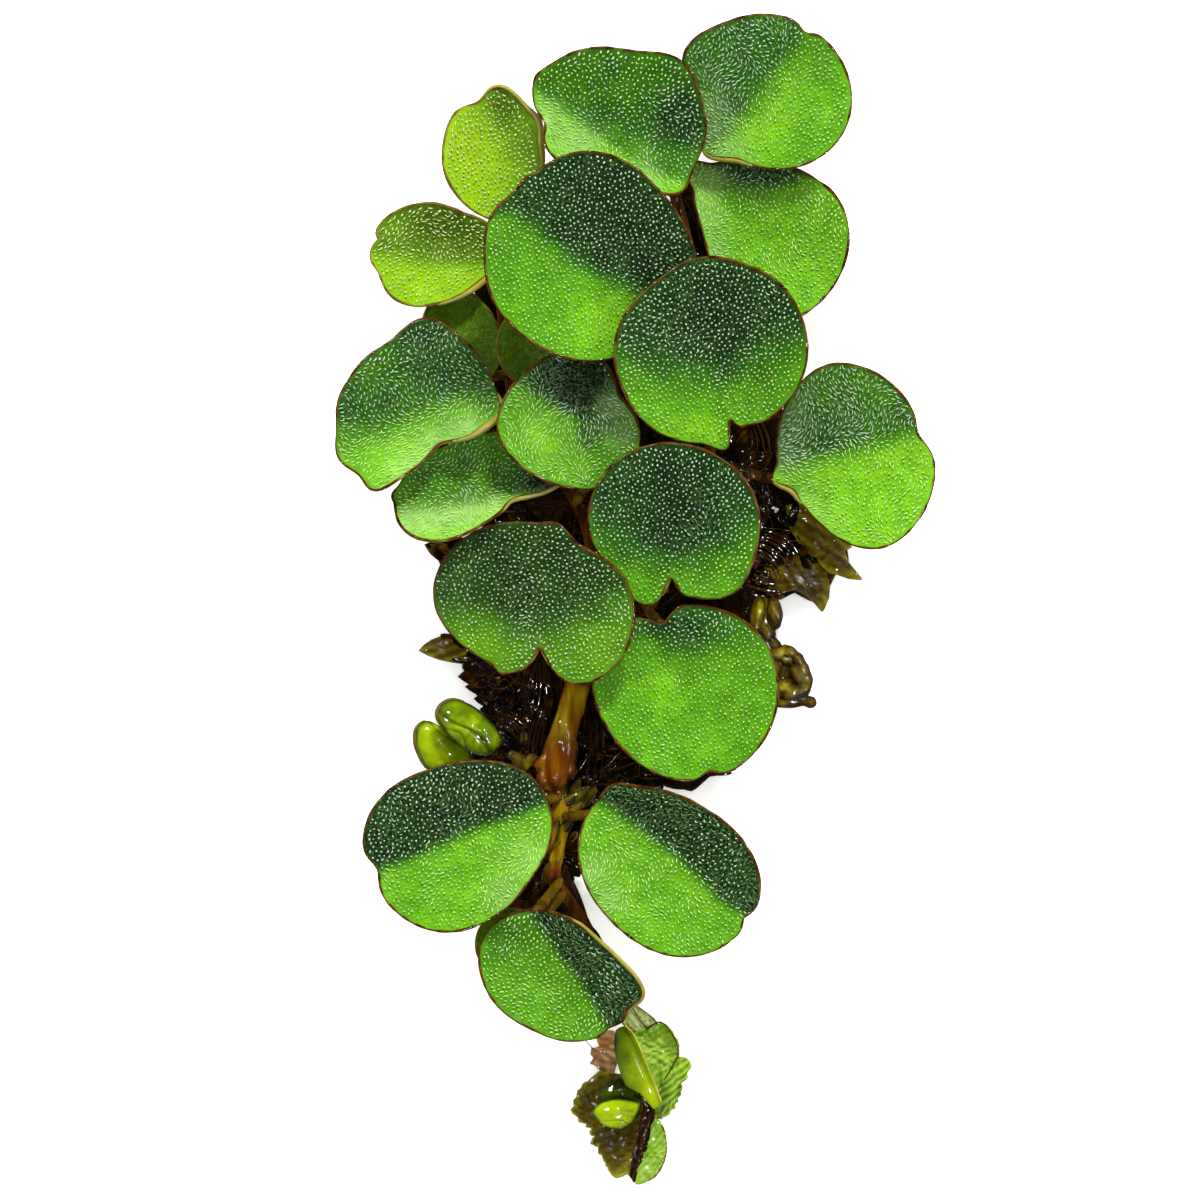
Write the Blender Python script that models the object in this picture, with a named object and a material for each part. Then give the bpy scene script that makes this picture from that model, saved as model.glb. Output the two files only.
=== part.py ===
# Asian watermoss: a floating fern lifted from the water and laid flat, seen from above.
# Broad leaves, shaped like shallow folded bowls, stand in layers over a creeping stem.
# Below them lie the finely cut wet fronds that hung in the water, and they carry the plant.
# Frame: metres, +Z up, X across the plant, Y along it from the growing tip (-Y) to the old end (+Y).
# The origin is on the resting surface, under the middle of the whole plant.
# Sizes in the tables are millimetres, angles are degrees, and slopes are rise over run.
import math

import bmesh
import bpy
from mathutils import Vector

MM = 0.001
LEAF_THICKNESS = 0.75 * MM  # blade and the upright hairs that stand on it
MIDRIB_SOFTNESS = 1.2  # mm either side of the midrib over which the blade bends
LEAF_SPOKES = 24
LEAF_RINGS = (0.0, 0.42, 0.76, 1.0)  # shares of the way from the middle to the margin
LEAF_ROUNDING = 1 / math.cos(math.pi / LEAF_SPOKES)  # keeps the round margin inside its straight sides
NARROW_SWELL = 14  # a notch or a lobe narrower than this draws a spoke to itself
STALK_ROOT = 0.86  # where the stalk leaves the blade, as a share of the way to the margin
STALK_RADIUS = 0.42 * MM
STALK_NECK = 0.6 * MM  # the stalk narrows within this much below the blade
BLADE_SHOULDER = 0.6  # where a frond or a young blade turns down to its edge
STEM_SIDES = 2  # bevel resolution of the round stems
ROUTE_STEPS = 2  # points on each stretch of a stem
BEAN_SPOKES = 14
BEAN_RINGS = 9

# at: middle; heading: direction of the tip; reach: to the tip, left, base and right margins
# swells: (angle from the heading, share of the reach, spread), negative for notches
# fold: slope of the left and the right half up from the midrib; cup: rise of the margin
# foot: where the stalk meets the stem; stalk: angle from the heading at which it leaves the blade
LEAVES = {
    "leaf_top_right": dict(
        at=(9.8, 36.4), heading=54, reach=(5.3, 5.9, 5.5, 6.0), squareness=2.0,
        swells=((6, -0.08, 8), (102, 0.17, 22), (169, 0.20, 15)),
        height=6.9, pitch=0.10, roll=0.0, fold=(0.30, 0.25), cup=0.4,
        stalk=180, foot=(4.6, 32.9, 4.0)),
    "leaf_top_middle": dict(
        at=(-1.3, 34.5), heading=161, reach=(6.1, 5.0, 6.6, 4.8), squareness=2.1,
        swells=((-119, 0.19, 23), (-7, 0.07, 11), (25, -0.12, 11), (148, 0.17, 13)),
        height=7.9, pitch=0.02, roll=-0.26, fold=(0.85, 0.20), cup=0.5,
        stalk=176, foot=(2.8, 29.3, 4.0)),
    "leaf_top_left": dict(
        at=(-9.6, 31.6), heading=98, reach=(5.6, 4.2, 4.6, 3.1), squareness=1.8,
        swells=((-55, 0.12, 17), (13, -0.18, 17)),
        height=5.6, pitch=0.05, roll=0.0, fold=(0.25, 0.60), cup=0.6,
        stalk=180, foot=(-9.7, 26.3, 3.9)),
    "leaf_left_high": dict(
        at=(-14.6, 25.6), heading=169, reach=(4.0, 4.6, 5.2, 2.9), squareness=1.7,
        swells=((8, -0.05, 4), (26, 0.13, 13), (62, 0.14, 24)),
        height=5.4, pitch=0.05, roll=0.0, fold=(0.25, 0.35), cup=0.6,
        stalk=180, foot=(-9.7, 24.5, 3.9)),
    "leaf_largest": dict(
        at=(-2.8, 25.7), heading=134, reach=(6.4, 8.6, 8.3, 5.8), squareness=2.2,
        swells=((6, 0.04, 5), (34, 0.09, 18)),
        height=10.3, pitch=0.26, roll=0.0, fold=(0.22, 0.28), cup=0.6,
        stalk=180, foot=(4.4, 21.4, 4.0)),
    "leaf_right_high": dict(
        at=(10.4, 25.3), heading=-39, reach=(4.8, 5.5, 7.8, 4.6), squareness=1.9,
        swells=((-153, -0.11, 21), (-43, 0.14, 26), (177, 0.19, 6)),
        height=4.9, pitch=0.08, roll=0.0, fold=(0.18, 0.35), cup=0.4,
        stalk=176, foot=(3.4, 30.8, 3.9)),
    "leaf_center_high": dict(
        at=(5.1, 17.7), heading=112, reach=(6.0, 6.6, 6.4, 7.3), squareness=2.2,
        swells=((-175, -0.07, 9), (-15, 0.11, 24), (170, 0.12, 9), (177, -0.22, 4)),
        height=9.1, pitch=0.26, roll=0.0, fold=(0.20, 0.20), cup=0.7,
        stalk=180, foot=(5.8, 13.2, 4.0)),
    "leaf_left_middle": dict(
        at=(-15.3, 13.5), heading=-153, reach=(5.8, 4.2, 5.7, 5.4), squareness=2.6,
        swells=((-119, 0.16, 18), (-52, -0.05, 17), (3, 0.17, 16), (33, 0.20, 11), (95, -0.33, 36)),
        height=6.6, pitch=0.05, roll=0.0, fold=(0.85, 0.25), cup=0.5,
        stalk=156, foot=(-8.9, 14.4, 3.8)),
    "leaf_left_folded": dict(
        at=(-11.3, 8.9), heading=-172, reach=(4.8, 3.1, 8.7, 3.1), squareness=2.6,
        swells=((-166, -0.42, 22), (-45, -0.13, 40), (5, 0.08, 5), (43, 0.50, 45), (144, -0.30, 27)),
        height=6.2, pitch=0.05, roll=0.0, fold=(0.85, 0.25), cup=0.4,
        stalk=171, foot=(-5.9, 9.4, 3.8)),
    "leaf_center_left": dict(
        at=(-3.7, 12.8), heading=95, reach=(5.3, 6.2, 4.9, 4.0), squareness=1.8,
        swells=((-130, 0.12, 32), (-60, -0.20, 28)),
        height=7.4, pitch=0.05, roll=0.09, fold=(0.25, 0.40), cup=0.5,
        stalk=180, foot=(-4.1, 7.2, 3.9)),
    "leaf_center": dict(
        at=(2.5, 5.7), heading=84, reach=(5.6, 5.9, 5.1, 6.5), squareness=2.0,
        swells=((-135, 0.22, 23), (169, 0.24, 21), (187, -0.31, 7)),
        height=8.0, pitch=0.26, roll=-0.08, fold=(0.12, 0.12), cup=0.9,
        stalk=180, foot=(1.9, 1.1, 4.0)),
    "leaf_right_middle": dict(
        at=(15.8, 10.0), heading=17, reach=(5.9, 7.2, 6.0, 6.7), squareness=1.8,
        swells=((-155, -0.16, 44), (5, -0.10, 14), (15, -0.07, 34), (176, 0.13, 8)),
        height=6.0, pitch=0.10, roll=0.0, fold=(0.28, 0.22), cup=0.4,
        stalk=180, foot=(9.9, 8.7, 3.9)),
    "leaf_left_low": dict(
        at=(-6.9, -0.6), heading=73, reach=(6.1, 7.7, 4.9, 7.0), squareness=2.1,
        swells=((-160, -0.45, 13), (-133, 0.08, 23), (-18, -0.11, 26), (3, 0.09, 11), (167, 0.08, 7)),
        height=7.9, pitch=0.0, roll=-0.26, fold=(0.08, 0.08), cup=0.6,
        stalk=-160, foot=(-4.3, -4.0, 4.5)),
    "leaf_right_low": dict(
        at=(3.8, -6.2), heading=-72, reach=(6.8, 6.5, 5.8, 6.3), squareness=2.0,
        swells=((-176, -0.20, 11), (-135, 0.14, 45), (-4, -0.08, 7)),
        height=6.6, pitch=0.0, roll=0.0, fold=(0.15, 0.15), cup=0.5,
        stalk=-176, foot=(0.9, -0.6, 4.0)),
    "leaf_bottom_left": dict(
        at=(-13.8, -17.2), heading=-157, reach=(5.7, 6.6, 8.2, 5.2), squareness=2.1,
        swells=((1, -0.11, 13), (135, -0.05, 20)),
        height=6.4, pitch=0.05, roll=0.0, fold=(0.20, 0.35), cup=0.3,
        stalk=180, foot=(-5.7, -14.2, 4.1)),
    "leaf_bottom_right": dict(
        at=(3.2, -19.4), heading=-36, reach=(6.2, 4.9, 7.8, 5.9), squareness=2.1,
        swells=((1, -0.07, 7), (163, 0.07, 8)),
        height=6.0, pitch=0.05, roll=0.0, fold=(0.35, 0.20), cup=0.3,
        stalk=180, foot=(-4.7, -15.4, 4.0)),
    "leaf_bottom": dict(
        at=(-6.1, -27.7), heading=-49, reach=(4.5, 5.0, 6.1, 4.0), squareness=2.1,
        swells=((-60, -0.21, 45), (18, -0.18, 11), (35, 0.50, 30), (33, 0.28, 5)),
        height=6.0, pitch=0.0, roll=0.0, fold=(0.70, 0.20), cup=0.3,
        stalk=152, foot=(-5.5, -20.3, 4.0)),
    "leaf_hidden_left": dict(
        at=(-12.2, 18.6), heading=110, reach=(3.9, 2.9, 3.4, 2.7), squareness=2.0,
        swells=(),
        height=4.6, pitch=-0.10, roll=0.0, fold=(0.15, 0.15), cup=0.2,
        stalk=180, foot=(-9.3, 16.2, 3.8)),
    "leaf_rolled_left": dict(
        at=(-7.8, 18.2), heading=95, reach=(2.6, 2.1, 2.8, 2.0), squareness=2.0,
        swells=(),
        height=6.1, pitch=0.10, roll=0.0, fold=(0.50, 0.50), cup=0.3,
        stalk=180, foot=(-8.6, 15.2, 3.8)),
    "leaf_hidden_bottom": dict(
        at=(-8.9, -24.4), heading=215, reach=(2.6, 2.5, 2.6, 2.4), squareness=2.0,
        swells=(),
        height=4.4, pitch=0.0, roll=0.0, fold=(0.20, 0.20), cup=0.2,
        stalk=180, foot=(-5.3, -21.2, 3.8)),
}

# Small blades and fronds at the growing tip, given the same way as the fronds below
YOUNG_BLADES = {
    "bud_leaf_folded": dict(
        outline=((-1.4, -30.8), (-0.6, -30.5), (0.5, -30.6), (1.8, -30.1), (2.7, -31.0), (3.1, -32.2),
                 (2.7, -33.4), (1.8, -34.8), (1.9, -36.0), (1.4, -36.4), (0.4, -35.3), (-0.6, -34.7),
                 (-1.2, -33.3), (-1.5, -31.8)),
        underside=3.0, edge=1.0, crown=2.0),
    "bud_leaf_half": dict(
        outline=((1.3, -36.2), (1.8, -37.0), (2.1, -38.0), (2.25, -39.0), (2.2, -39.9), (1.9, -40.6), (1.4, -41.3),
                 (0.7, -41.8), (0.0, -41.9), (0.3, -41.0), (0.6, -40.2), (0.9, -39.2), (1.1, -38.2)),
        underside=1.8, edge=0.7, crown=1.0),
    "bud_sheath": dict(
        outline=((-0.2, -28.8), (0.6, -29.2), (1.6, -29.7), (0.9, -30.0), (0.2, -30.2), (-0.5, -30.1),
                 (-0.7, -29.5)),
        underside=3.5, edge=0.4, crown=0.6),
    "bud_leaf_dark": dict(
        outline=((-2.5, -35.1), (-1.8, -34.6), (-1.2, -34.9), (-0.5, -35.2), (-0.4, -35.6), (-1.2, -35.5),
                 (-2.0, -35.5)),
        underside=1.9, edge=0.5, crown=0.8),
    "bud_frond_left": dict(
        outline=((-1.3, -30.6), (-2.4, -30.5), (-3.0, -30.9), (-3.2, -32.6), (-3.1, -33.2), (-2.5, -33.8), (-3.4, -34.5), (-4.1, -35.5),
                 (-4.4, -36.0), (-4.5, -36.7), (-4.2, -37.1), (-3.3, -37.7), (-3.1, -38.4), (-2.7, -39.2),
                 (-2.4, -39.9), (-1.8, -40.5), (-1.5, -41.2), (-0.6, -41.2), (0.0, -41.6), (0.4, -40.8),
                 (1.0, -38.5), (1.1, -36.4), (0.0, -34.3), (-1.0, -32.1)),
        underside=0.0, edge=0.6, crown=1.4),
    "bud_frond_right": dict(
        outline=((3.0, -32.7), (3.6, -32.6), (4.0, -33.0), (4.1, -33.5), (3.8, -34.1), (3.3, -34.6),
                 (3.3, -35.2), (3.0, -36.0), (2.6, -36.7), (1.8, -37.3), (1.5, -36.4), (1.8, -34.6),
                 (2.3, -33.3)),
        underside=0.0, edge=0.7, crown=1.5),
}

# Wet fronds seen between the leaves: outline, height of the flat underside, thickness of the edge
# and of the middle
FRONDS = {
    "frond_right": dict(
        outline=((7.7, 14.0), (9.8, 14.0), (12.0, 9.3), (14.5, 5.8), (15.2, 3.6), (16.3, 1.5), (14.4, 1.9),
                 (13.9, 0.0), (13.5, -0.8), (12.4, 0.2), (11.4, 0.6), (10.5, 0.2), (9.2, 0.2), (7.3, 0.2),
                 (5.5, 3.2), (4.8, 6.6), (5.7, 9.2), (6.7, 10.6)),
        underside=0.0, edge=0.5, crown=2.4),
    "frond_knob_high": dict(
        outline=((9.1, -0.2), (10.6, -0.5), (10.8, -1.8), (10.2, -2.8), (8.8, -2.6), (7.2, -1.8),
                 (7.3, -0.2)),
        underside=0.0, edge=0.5, crown=2.3),
    "frond_knob_low": dict(
        outline=((10.5, -3.2), (11.8, -3.9), (12.8, -5.7), (13.0, -7.1), (12.2, -7.8), (10.8, -7.5),
                 (9.0, -6.5), (8.0, -4.5), (9.1, -3.2)),
        underside=0.0, edge=0.5, crown=2.4),
    "frond_center": dict(
        outline=((0.8, 1.8), (4.7, 2.5), (6.7, 0.6), (6.7, -1.5), (5.0, -3.2), (1.8, -3.2), (-0.0, -2.0),
                 (-0.7, 0.0)),
        underside=0.0, edge=0.5, crown=2.2),
    "frond_middle": dict(
        outline=((-3.3, 9.3), (-2.3, 7.2), (-2.5, 4.3), (-4.2, 2.9), (-6.8, 3.5), (-9.0, 3.8), (-10.6, 4.9),
                 (-11.2, 6.8), (-9.6, 8.8), (-6.8, 9.5)),
        underside=0.0, edge=0.5, crown=2.3),
    "frond_center_high": dict(
        outline=((-0.2, 12.9), (1.2, 14.7), (4.7, 15.4), (6.8, 14.3), (6.9, 12.0), (6.0, 11.0), (4.8, 9.9),
                 (1.8, 9.6), (0.1, 10.9)),
        underside=0.0, edge=0.5, crown=2.2),
    "frond_left_low": dict(
        outline=((-15.5, -3.7), (-13.7, -2.5), (-11.4, -2.2), (-8.2, -2.2), (-5.6, -3.7), (-5.0, -6.2),
                 (-6.0, -7.9), (-8.8, -7.5), (-10.8, -7.6), (-11.8, -6.7), (-12.7, -5.4), (-12.2, -4.5)),
        underside=0.0, edge=0.5, crown=2.3),
    "frond_left_tip": dict(
        outline=((-15.0, 3.9), (-13.2, 4.6), (-10.7, 3.8), (-9.8, 1.8), (-11.2, 0.2), (-13.0, 1.3),
                 (-13.9, 2.9)),
        underside=0.0, edge=0.5, crown=1.9),
    "frond_low_left": dict(
        outline=((-11.3, -8.4), (-8.8, -7.9), (-6.4, -8.3), (-5.5, -10.0), (-5.8, -12.5), (-6.6, -14.0),
                 (-8.9, -13.7), (-10.8, -13.2), (-11.5, -11.7), (-11.5, -9.8)),
        underside=0.0, edge=0.5, crown=2.4),
    "frond_low_right": dict(
        outline=((-4.5, -6.7), (-2.1, -6.0), (0.8, -7.0), (4.1, -9.1), (7.0, -11.7), (7.2, -12.3),
                 (5.2, -12.5), (4.0, -13.6), (2.1, -13.1), (0.1, -13.5), (-2.5, -14.0), (-4.8, -14.0),
                 (-5.2, -12.0), (-5.1, -9.2)),
        underside=0.0, edge=0.5, crown=2.4),
    "frond_stem": dict(
        outline=((-6.4, -14.5), (-3.0, -14.5), (-2.5, -15.4), (-3.6, -17.8), (-4.1, -20.0), (-3.2, -22.1),
                 (-2.5, -23.7), (-4.0, -22.8), (-5.6, -22.5), (-7.6, -22.1), (-9.2, -22.0), (-8.3, -20.0),
                 (-7.6, -17.8), (-7.2, -15.7)),
        underside=0.0, edge=0.5, crown=2.3),
    "frond_top": dict(
        outline=((4.0, 30.2), (5.8, 29.2), (7.5, 26.5), (7.2, 23.5), (4.8, 22.2), (2.7, 24.2), (2.5, 27.5)),
        underside=0.0, edge=0.5, crown=2.2),
    "frond_top_left": dict(
        outline=((-10.3, 21.0), (-9.2, 22.9), (-7.5, 22.2), (-6.4, 19.3), (-6.8, 16.5), (-8.2, 14.2),
                 (-9.6, 15.4), (-10.2, 17.8)),
        underside=0.0, edge=0.5, crown=2.2),
}

# Stems: points of the route with the radius there, all above the fronds
STEMS = {
    "stem_lower": (
        (0.6, -35.6, 2.2, 0.32), (0.2, -31.6, 2.5, 0.36), (-1.7, -26.2, 2.9, 0.42), (-4.3, -22.0, 3.0, 0.42),
        (-5.7, -19.8, 3.1, 0.46), (-5.3, -17.4, 3.1, 0.40), (-5.0, -15.2, 3.2, 0.42), (-5.6, -13.6, 3.3, 0.50),
        (-5.9, -12.3, 3.7, 0.95), (-5.6, -10.8, 3.9, 1.20), (-5.1, -8.9, 3.7, 0.95), (-4.6, -6.6, 3.6, 0.80),
        (-3.6, -3.9, 3.4, 0.60), (-2.0, -1.6, 3.2, 0.45)),
    "stem_upper": (
        (-1.3, -1.0, 3.2, 0.45), (0.8, -0.5, 3.2, 0.45), (2.0, 1.4, 3.2, 0.45), (4.2, 5.8, 3.2, 0.45),
        (5.3, 10.0, 3.2, 0.45), (5.6, 15.8, 3.2, 0.45), (4.7, 21.4, 3.2, 0.45), (3.6, 26.4, 3.2, 0.42),
        (2.9, 29.4, 3.1, 0.40), (3.5, 31.4, 3.1, 0.40), (4.7, 33.3, 3.1, 0.36)),
    "stem_branch_left": (
        (-2.5, -0.3, 3.1, 0.40), (-3.0, 2.6, 3.1, 0.40), (-3.6, 5.8, 3.0, 0.40), (-5.6, 9.2, 2.9, 0.38),
        (-8.2, 13.0, 2.9, 0.38), (-9.2, 17.4, 2.9, 0.38), (-9.6, 22.4, 2.9, 0.38), (-9.8, 26.4, 2.9, 0.34)),
    "stem_branch_right": (
        (6.1, 9.8, 3.1, 0.38), (7.8, 9.2, 3.1, 0.38), (9.9, 8.7, 3.1, 0.36)),
    "stem_side_shoot": (
        (-7.5, -12.0, 3.4, 0.42), (-8.1, -11.5, 3.4, 0.50), (-9.0, -10.9, 3.5, 0.30)),
}

# Folded young leaves, plump as beans: middle, half length, half width, half height, heading, bend
BEANS = {
    "bean_leaf_upper": dict(at=(-12.0, -9.0, 4.4), half=(2.75, 1.75, 1.2), heading=-42, bend=0.10),
    "bean_leaf_lower": dict(at=(-13.6, -11.0, 2.2), half=(2.6, 1.85, 0.95), heading=-30, bend=0.10),
    "bud_leaf_bean": dict(at=(-1.25, -36.85, 2.95), half=(1.85, 1.1, 1.0), heading=2, bend=-0.08),
}

COLOURS = {
    "green": (0.07, 0.22, 0.01),
    "yellow green": (0.22, 0.36, 0.01),
    "dark green": (0.03, 0.10, 0.01),
    "brown": (0.05, 0.025, 0.008),
    "olive": (0.12, 0.09, 0.01),
    "ochre": (0.30, 0.15, 0.02),
    "wet green": (0.19, 0.32, 0.005),
}
YOUNG_LEAVES = ("leaf_top_left", "leaf_left_high")
SHADED_LEAVES = ("leaf_hidden_left", "leaf_rolled_left", "leaf_hidden_bottom")


def clear_scene():
    for old in list(bpy.data.objects):
        bpy.data.objects.remove(old)


def paint(piece, colour, roughness):
    material = bpy.data.materials.new(piece.name)
    material.use_nodes = True
    shader = material.node_tree.nodes["Principled BSDF"]
    shader.inputs["Base Color"].default_value = (*COLOURS[colour], 1)
    shader.inputs["Roughness"].default_value = roughness
    shader.inputs["Metallic"].default_value = 0
    piece.data.materials.append(material)


def object_from(bm, name):
    bmesh.ops.recalc_face_normals(bm, faces=bm.faces)
    mesh = bpy.data.meshes.new(name)
    bm.to_mesh(mesh)
    bm.free()
    mesh.shade_smooth()
    piece = bpy.data.objects.new(name, mesh)
    bpy.context.scene.collection.objects.link(piece)
    return piece


def round_sheet(rings, spokes):
    """A disc of unit radius: a row of points from the middle out, spun a full turn."""
    bm = bmesh.new()
    row = [bm.verts.new((share, 0, 0)) for share in rings]
    edges = [bm.edges.new(pair) for pair in zip(row, row[1:])]
    bmesh.ops.spin(bm, geom=row + edges, cent=(0, 0, 0), axis=(0, 0, 1), angle=2 * math.pi,
                   steps=spokes, use_merge=True)
    bmesh.ops.remove_doubles(bm, verts=bm.verts, dist=1e-5)
    return bm


def spoke_and_share(point, spokes):
    """Number of the spoke that a point of the round sheet lies on, and how far out it is."""
    turn = math.atan2(point.y, point.x) % (2 * math.pi)
    return round(turn / (2 * math.pi) * spokes) % spokes, math.hypot(point.x, point.y)


def thicken_down(bm, drop):
    """Close a sheet into a solid. drop gives the underside's height below each of its points."""
    grown = bmesh.ops.extrude_face_region(bm, geom=list(bm.faces))["geom"]
    underside = [part for part in grown if isinstance(part, bmesh.types.BMVert)]
    for vert in underside:
        vert.co.z = drop(vert.co)
    return [part for part in grown if isinstance(part, bmesh.types.BMFace)]


def angle_between(first, second):
    return (first - second + 180) % 360 - 180


def leaf_margin(leaf, angle):
    """Distance from the leaf's middle to its margin, in mm, at an angle from its heading."""
    ahead = math.cos(math.radians(angle))
    aside = math.sin(math.radians(angle))
    tip, left, base, right = leaf["reach"]
    along = abs(ahead) / (tip if ahead > 0 else base)
    across = abs(aside) / (left if aside > 0 else right)
    power = leaf["squareness"]
    oval = (along ** power + across ** power) ** (-1 / power)
    swell = sum(share * math.exp(-(angle_between(angle, where) / spread) ** 2)
                for where, share, spread in leaf["swells"])
    return oval * (1 + swell)


def leaf_surface(leaf, angle, share):
    """A point of the leaf's upper face, in metres."""
    away = share * leaf_margin(leaf, angle) * LEAF_ROUNDING
    ahead = away * math.cos(math.radians(angle))
    aside = away * math.sin(math.radians(angle))
    slope = leaf["fold"][0 if aside > 0 else 1]
    fold = slope * (math.hypot(aside, MIDRIB_SOFTNESS) - MIDRIB_SOFTNESS)
    height = leaf["height"] + leaf["pitch"] * ahead + leaf["roll"] * aside + fold + leaf["cup"] * share ** 2
    turn = math.radians(leaf["heading"])
    x = leaf["at"][0] + ahead * math.cos(turn) - aside * math.sin(turn)
    y = leaf["at"][1] + ahead * math.sin(turn) + aside * math.cos(turn)
    return Vector((x, y, height)) * MM


def spoke_angles(leaf):
    """Even spokes, of which the nearest is drawn to each notch and narrow lobe."""
    angles = [360 * number / LEAF_SPOKES for number in range(LEAF_SPOKES)]
    for where, _, spread in leaf["swells"]:
        if spread <= NARROW_SWELL:
            nearest = min(range(LEAF_SPOKES), key=lambda number: abs(angle_between(angles[number], where)))
            angles[nearest] += angle_between(where, angles[nearest])
    return angles


def grow_stalk(bm, leaf):
    """Draw one face of the underside down into a stalk that ends just above the stem."""
    root = leaf_surface(leaf, leaf["stalk"], STALK_ROOT)
    foot = Vector(leaf["foot"]) * MM
    below = [face for face in bm.faces if face.normal.z < -0.5]
    face = min(below, key=lambda item: (item.calc_center_median().xy - root.xy).length)
    start = face.calc_center_median()
    neck = Vector((start.x, start.y, start.z - STALK_NECK)).lerp(foot, 0.25)
    middle = neck.lerp(foot, 0.55)
    middle.z = neck.z + (foot.z - neck.z) * 0.7
    for station in (neck, middle, foot):
        centre = face.calc_center_median()
        face = bmesh.ops.extrude_discrete_faces(bm, faces=[face])["faces"][0]
        for vert in face.verts:
            away = Vector((vert.co.x - centre.x, vert.co.y - centre.y, 0))
            vert.co = station + away.normalized() * STALK_RADIUS


def make_leaf(name, leaf):
    bm = round_sheet(LEAF_RINGS, LEAF_SPOKES)
    angles = spoke_angles(leaf)
    for vert in bm.verts:
        spoke, share = spoke_and_share(vert.co, LEAF_SPOKES)
        vert.co = leaf_surface(leaf, angles[spoke], share)
    thicken_down(bm, lambda point: point.z - LEAF_THICKNESS)
    bmesh.ops.recalc_face_normals(bm, faces=bm.faces)
    grow_stalk(bm, leaf)
    piece = object_from(bm, name)
    colour = "yellow green" if name in YOUNG_LEAVES else "dark green" if name in SHADED_LEAVES else "green"
    paint(piece, colour, 0.55)


def make_blade(name, blade, colour):
    """A flat-bottomed blade inside an outline, thickest in its middle."""
    outline = [Vector((*point, 0)) for point in blade["outline"]]
    middle = sum(outline, Vector()) / len(outline)
    bm = round_sheet((0.0, BLADE_SHOULDER, 1.0), len(outline))
    for vert in bm.verts:
        spoke, share = spoke_and_share(vert.co, len(outline))
        thickness = blade["edge"] + (blade["crown"] - blade["edge"]) * (1 - share ** 2)
        vert.co = middle.lerp(outline[spoke], share) * MM
        vert.co.z = (blade["underside"] + thickness) * MM
    underside = thicken_down(bm, lambda point: blade["underside"] * MM)
    bmesh.ops.dissolve_faces(bm, faces=underside)
    paint(object_from(bm, name), colour, 0.3)


def smooth_route(points, steps):
    """Points along a smooth curve through the given ones. Every value of a point is smoothed alike."""
    route = []
    for number in range(len(points) - 1):
        before = points[max(number - 1, 0)]
        start = points[number]
        end = points[number + 1]
        after = points[min(number + 2, len(points) - 1)]
        for step in range(steps):
            t = step / steps
            route.append([0.5 * (2 * b + (c - a) * t + (2 * a - 5 * b + 4 * c - d) * t ** 2
                                 + (3 * b - a - 3 * c + d) * t ** 3)
                          for a, b, c, d in zip(before, start, end, after)])
    route.append(list(points[-1]))
    return route


def make_stem(name, points):
    curve = bpy.data.curves.new(name, "CURVE")
    curve.dimensions = "3D"
    curve.bevel_depth = MM
    curve.bevel_resolution = STEM_SIDES
    curve.use_fill_caps = True
    route = smooth_route(points, ROUTE_STEPS)
    line = curve.splines.new("POLY")
    line.points.add(len(route) - 1)
    for point, (x, y, z, radius) in zip(line.points, route):
        point.co = (x * MM, y * MM, z * MM, 1)
        point.radius = radius
    line.use_smooth = True
    piece = bpy.data.objects.new(name, curve)
    bpy.context.scene.collection.objects.link(piece)
    paint(piece, "ochre", 0.35)


def make_bean(name, bean):
    bm = bmesh.new()
    bmesh.ops.create_uvsphere(bm, u_segments=BEAN_SPOKES, v_segments=BEAN_RINGS, radius=1)
    length, width, height = bean["half"]
    turn = math.radians(bean["heading"])
    for vert in bm.verts:
        x = vert.co.x * length
        y = vert.co.y * width + bean["bend"] * (vert.co.x * length) ** 2
        z = vert.co.z * height
        vert.co = Vector((x * math.cos(turn) - y * math.sin(turn), x * math.sin(turn) + y * math.cos(turn), z))
        vert.co = (vert.co + Vector(bean["at"])) * MM
    paint(object_from(bm, name), "wet green", 0.15)


clear_scene()
for part_name, part in LEAVES.items():
    make_leaf(part_name, part)
for part_name, part in YOUNG_BLADES.items():
    make_blade(part_name, part, "olive" if "frond" in part_name else "wet green")
for part_name, part in FRONDS.items():
    make_blade(part_name, part, "brown")
for part_name, part in STEMS.items():
    make_stem(part_name, part)
for part_name, part in BEANS.items():
    make_bean(part_name, part)
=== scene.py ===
import math
import random

import bmesh
import bpy
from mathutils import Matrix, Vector, noise


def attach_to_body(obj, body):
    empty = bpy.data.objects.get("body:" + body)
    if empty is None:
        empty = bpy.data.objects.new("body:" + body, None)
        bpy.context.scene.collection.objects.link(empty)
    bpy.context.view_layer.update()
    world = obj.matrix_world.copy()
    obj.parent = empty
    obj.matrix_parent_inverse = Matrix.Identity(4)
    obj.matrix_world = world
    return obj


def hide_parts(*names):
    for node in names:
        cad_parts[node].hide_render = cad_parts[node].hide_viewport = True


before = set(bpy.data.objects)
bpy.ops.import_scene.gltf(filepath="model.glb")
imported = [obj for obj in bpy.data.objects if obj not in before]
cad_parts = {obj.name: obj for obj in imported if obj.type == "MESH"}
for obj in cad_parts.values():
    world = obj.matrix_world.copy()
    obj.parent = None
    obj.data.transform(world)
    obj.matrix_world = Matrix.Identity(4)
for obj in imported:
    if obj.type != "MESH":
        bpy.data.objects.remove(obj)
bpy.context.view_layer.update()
mm = 0.001
view = dict(frame=1200, pixelsPerMm=14, originAt=(634.5, 600.5), height=1.5, leafLevel=0.006)  # pixels and metres
lightLevel = 1.9  # the studio is that much brighter than a white page, so the floor stays white in the shadows
dice = random.Random(7)


def spot(px, py):  # a place in the picture, as millimetres in the plant's frame
    originX, originY = view["originAt"]
    return Vector(((px - originX) / view["pixelsPerMm"], (originY - py) / view["pixelsPerMm"]))


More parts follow.
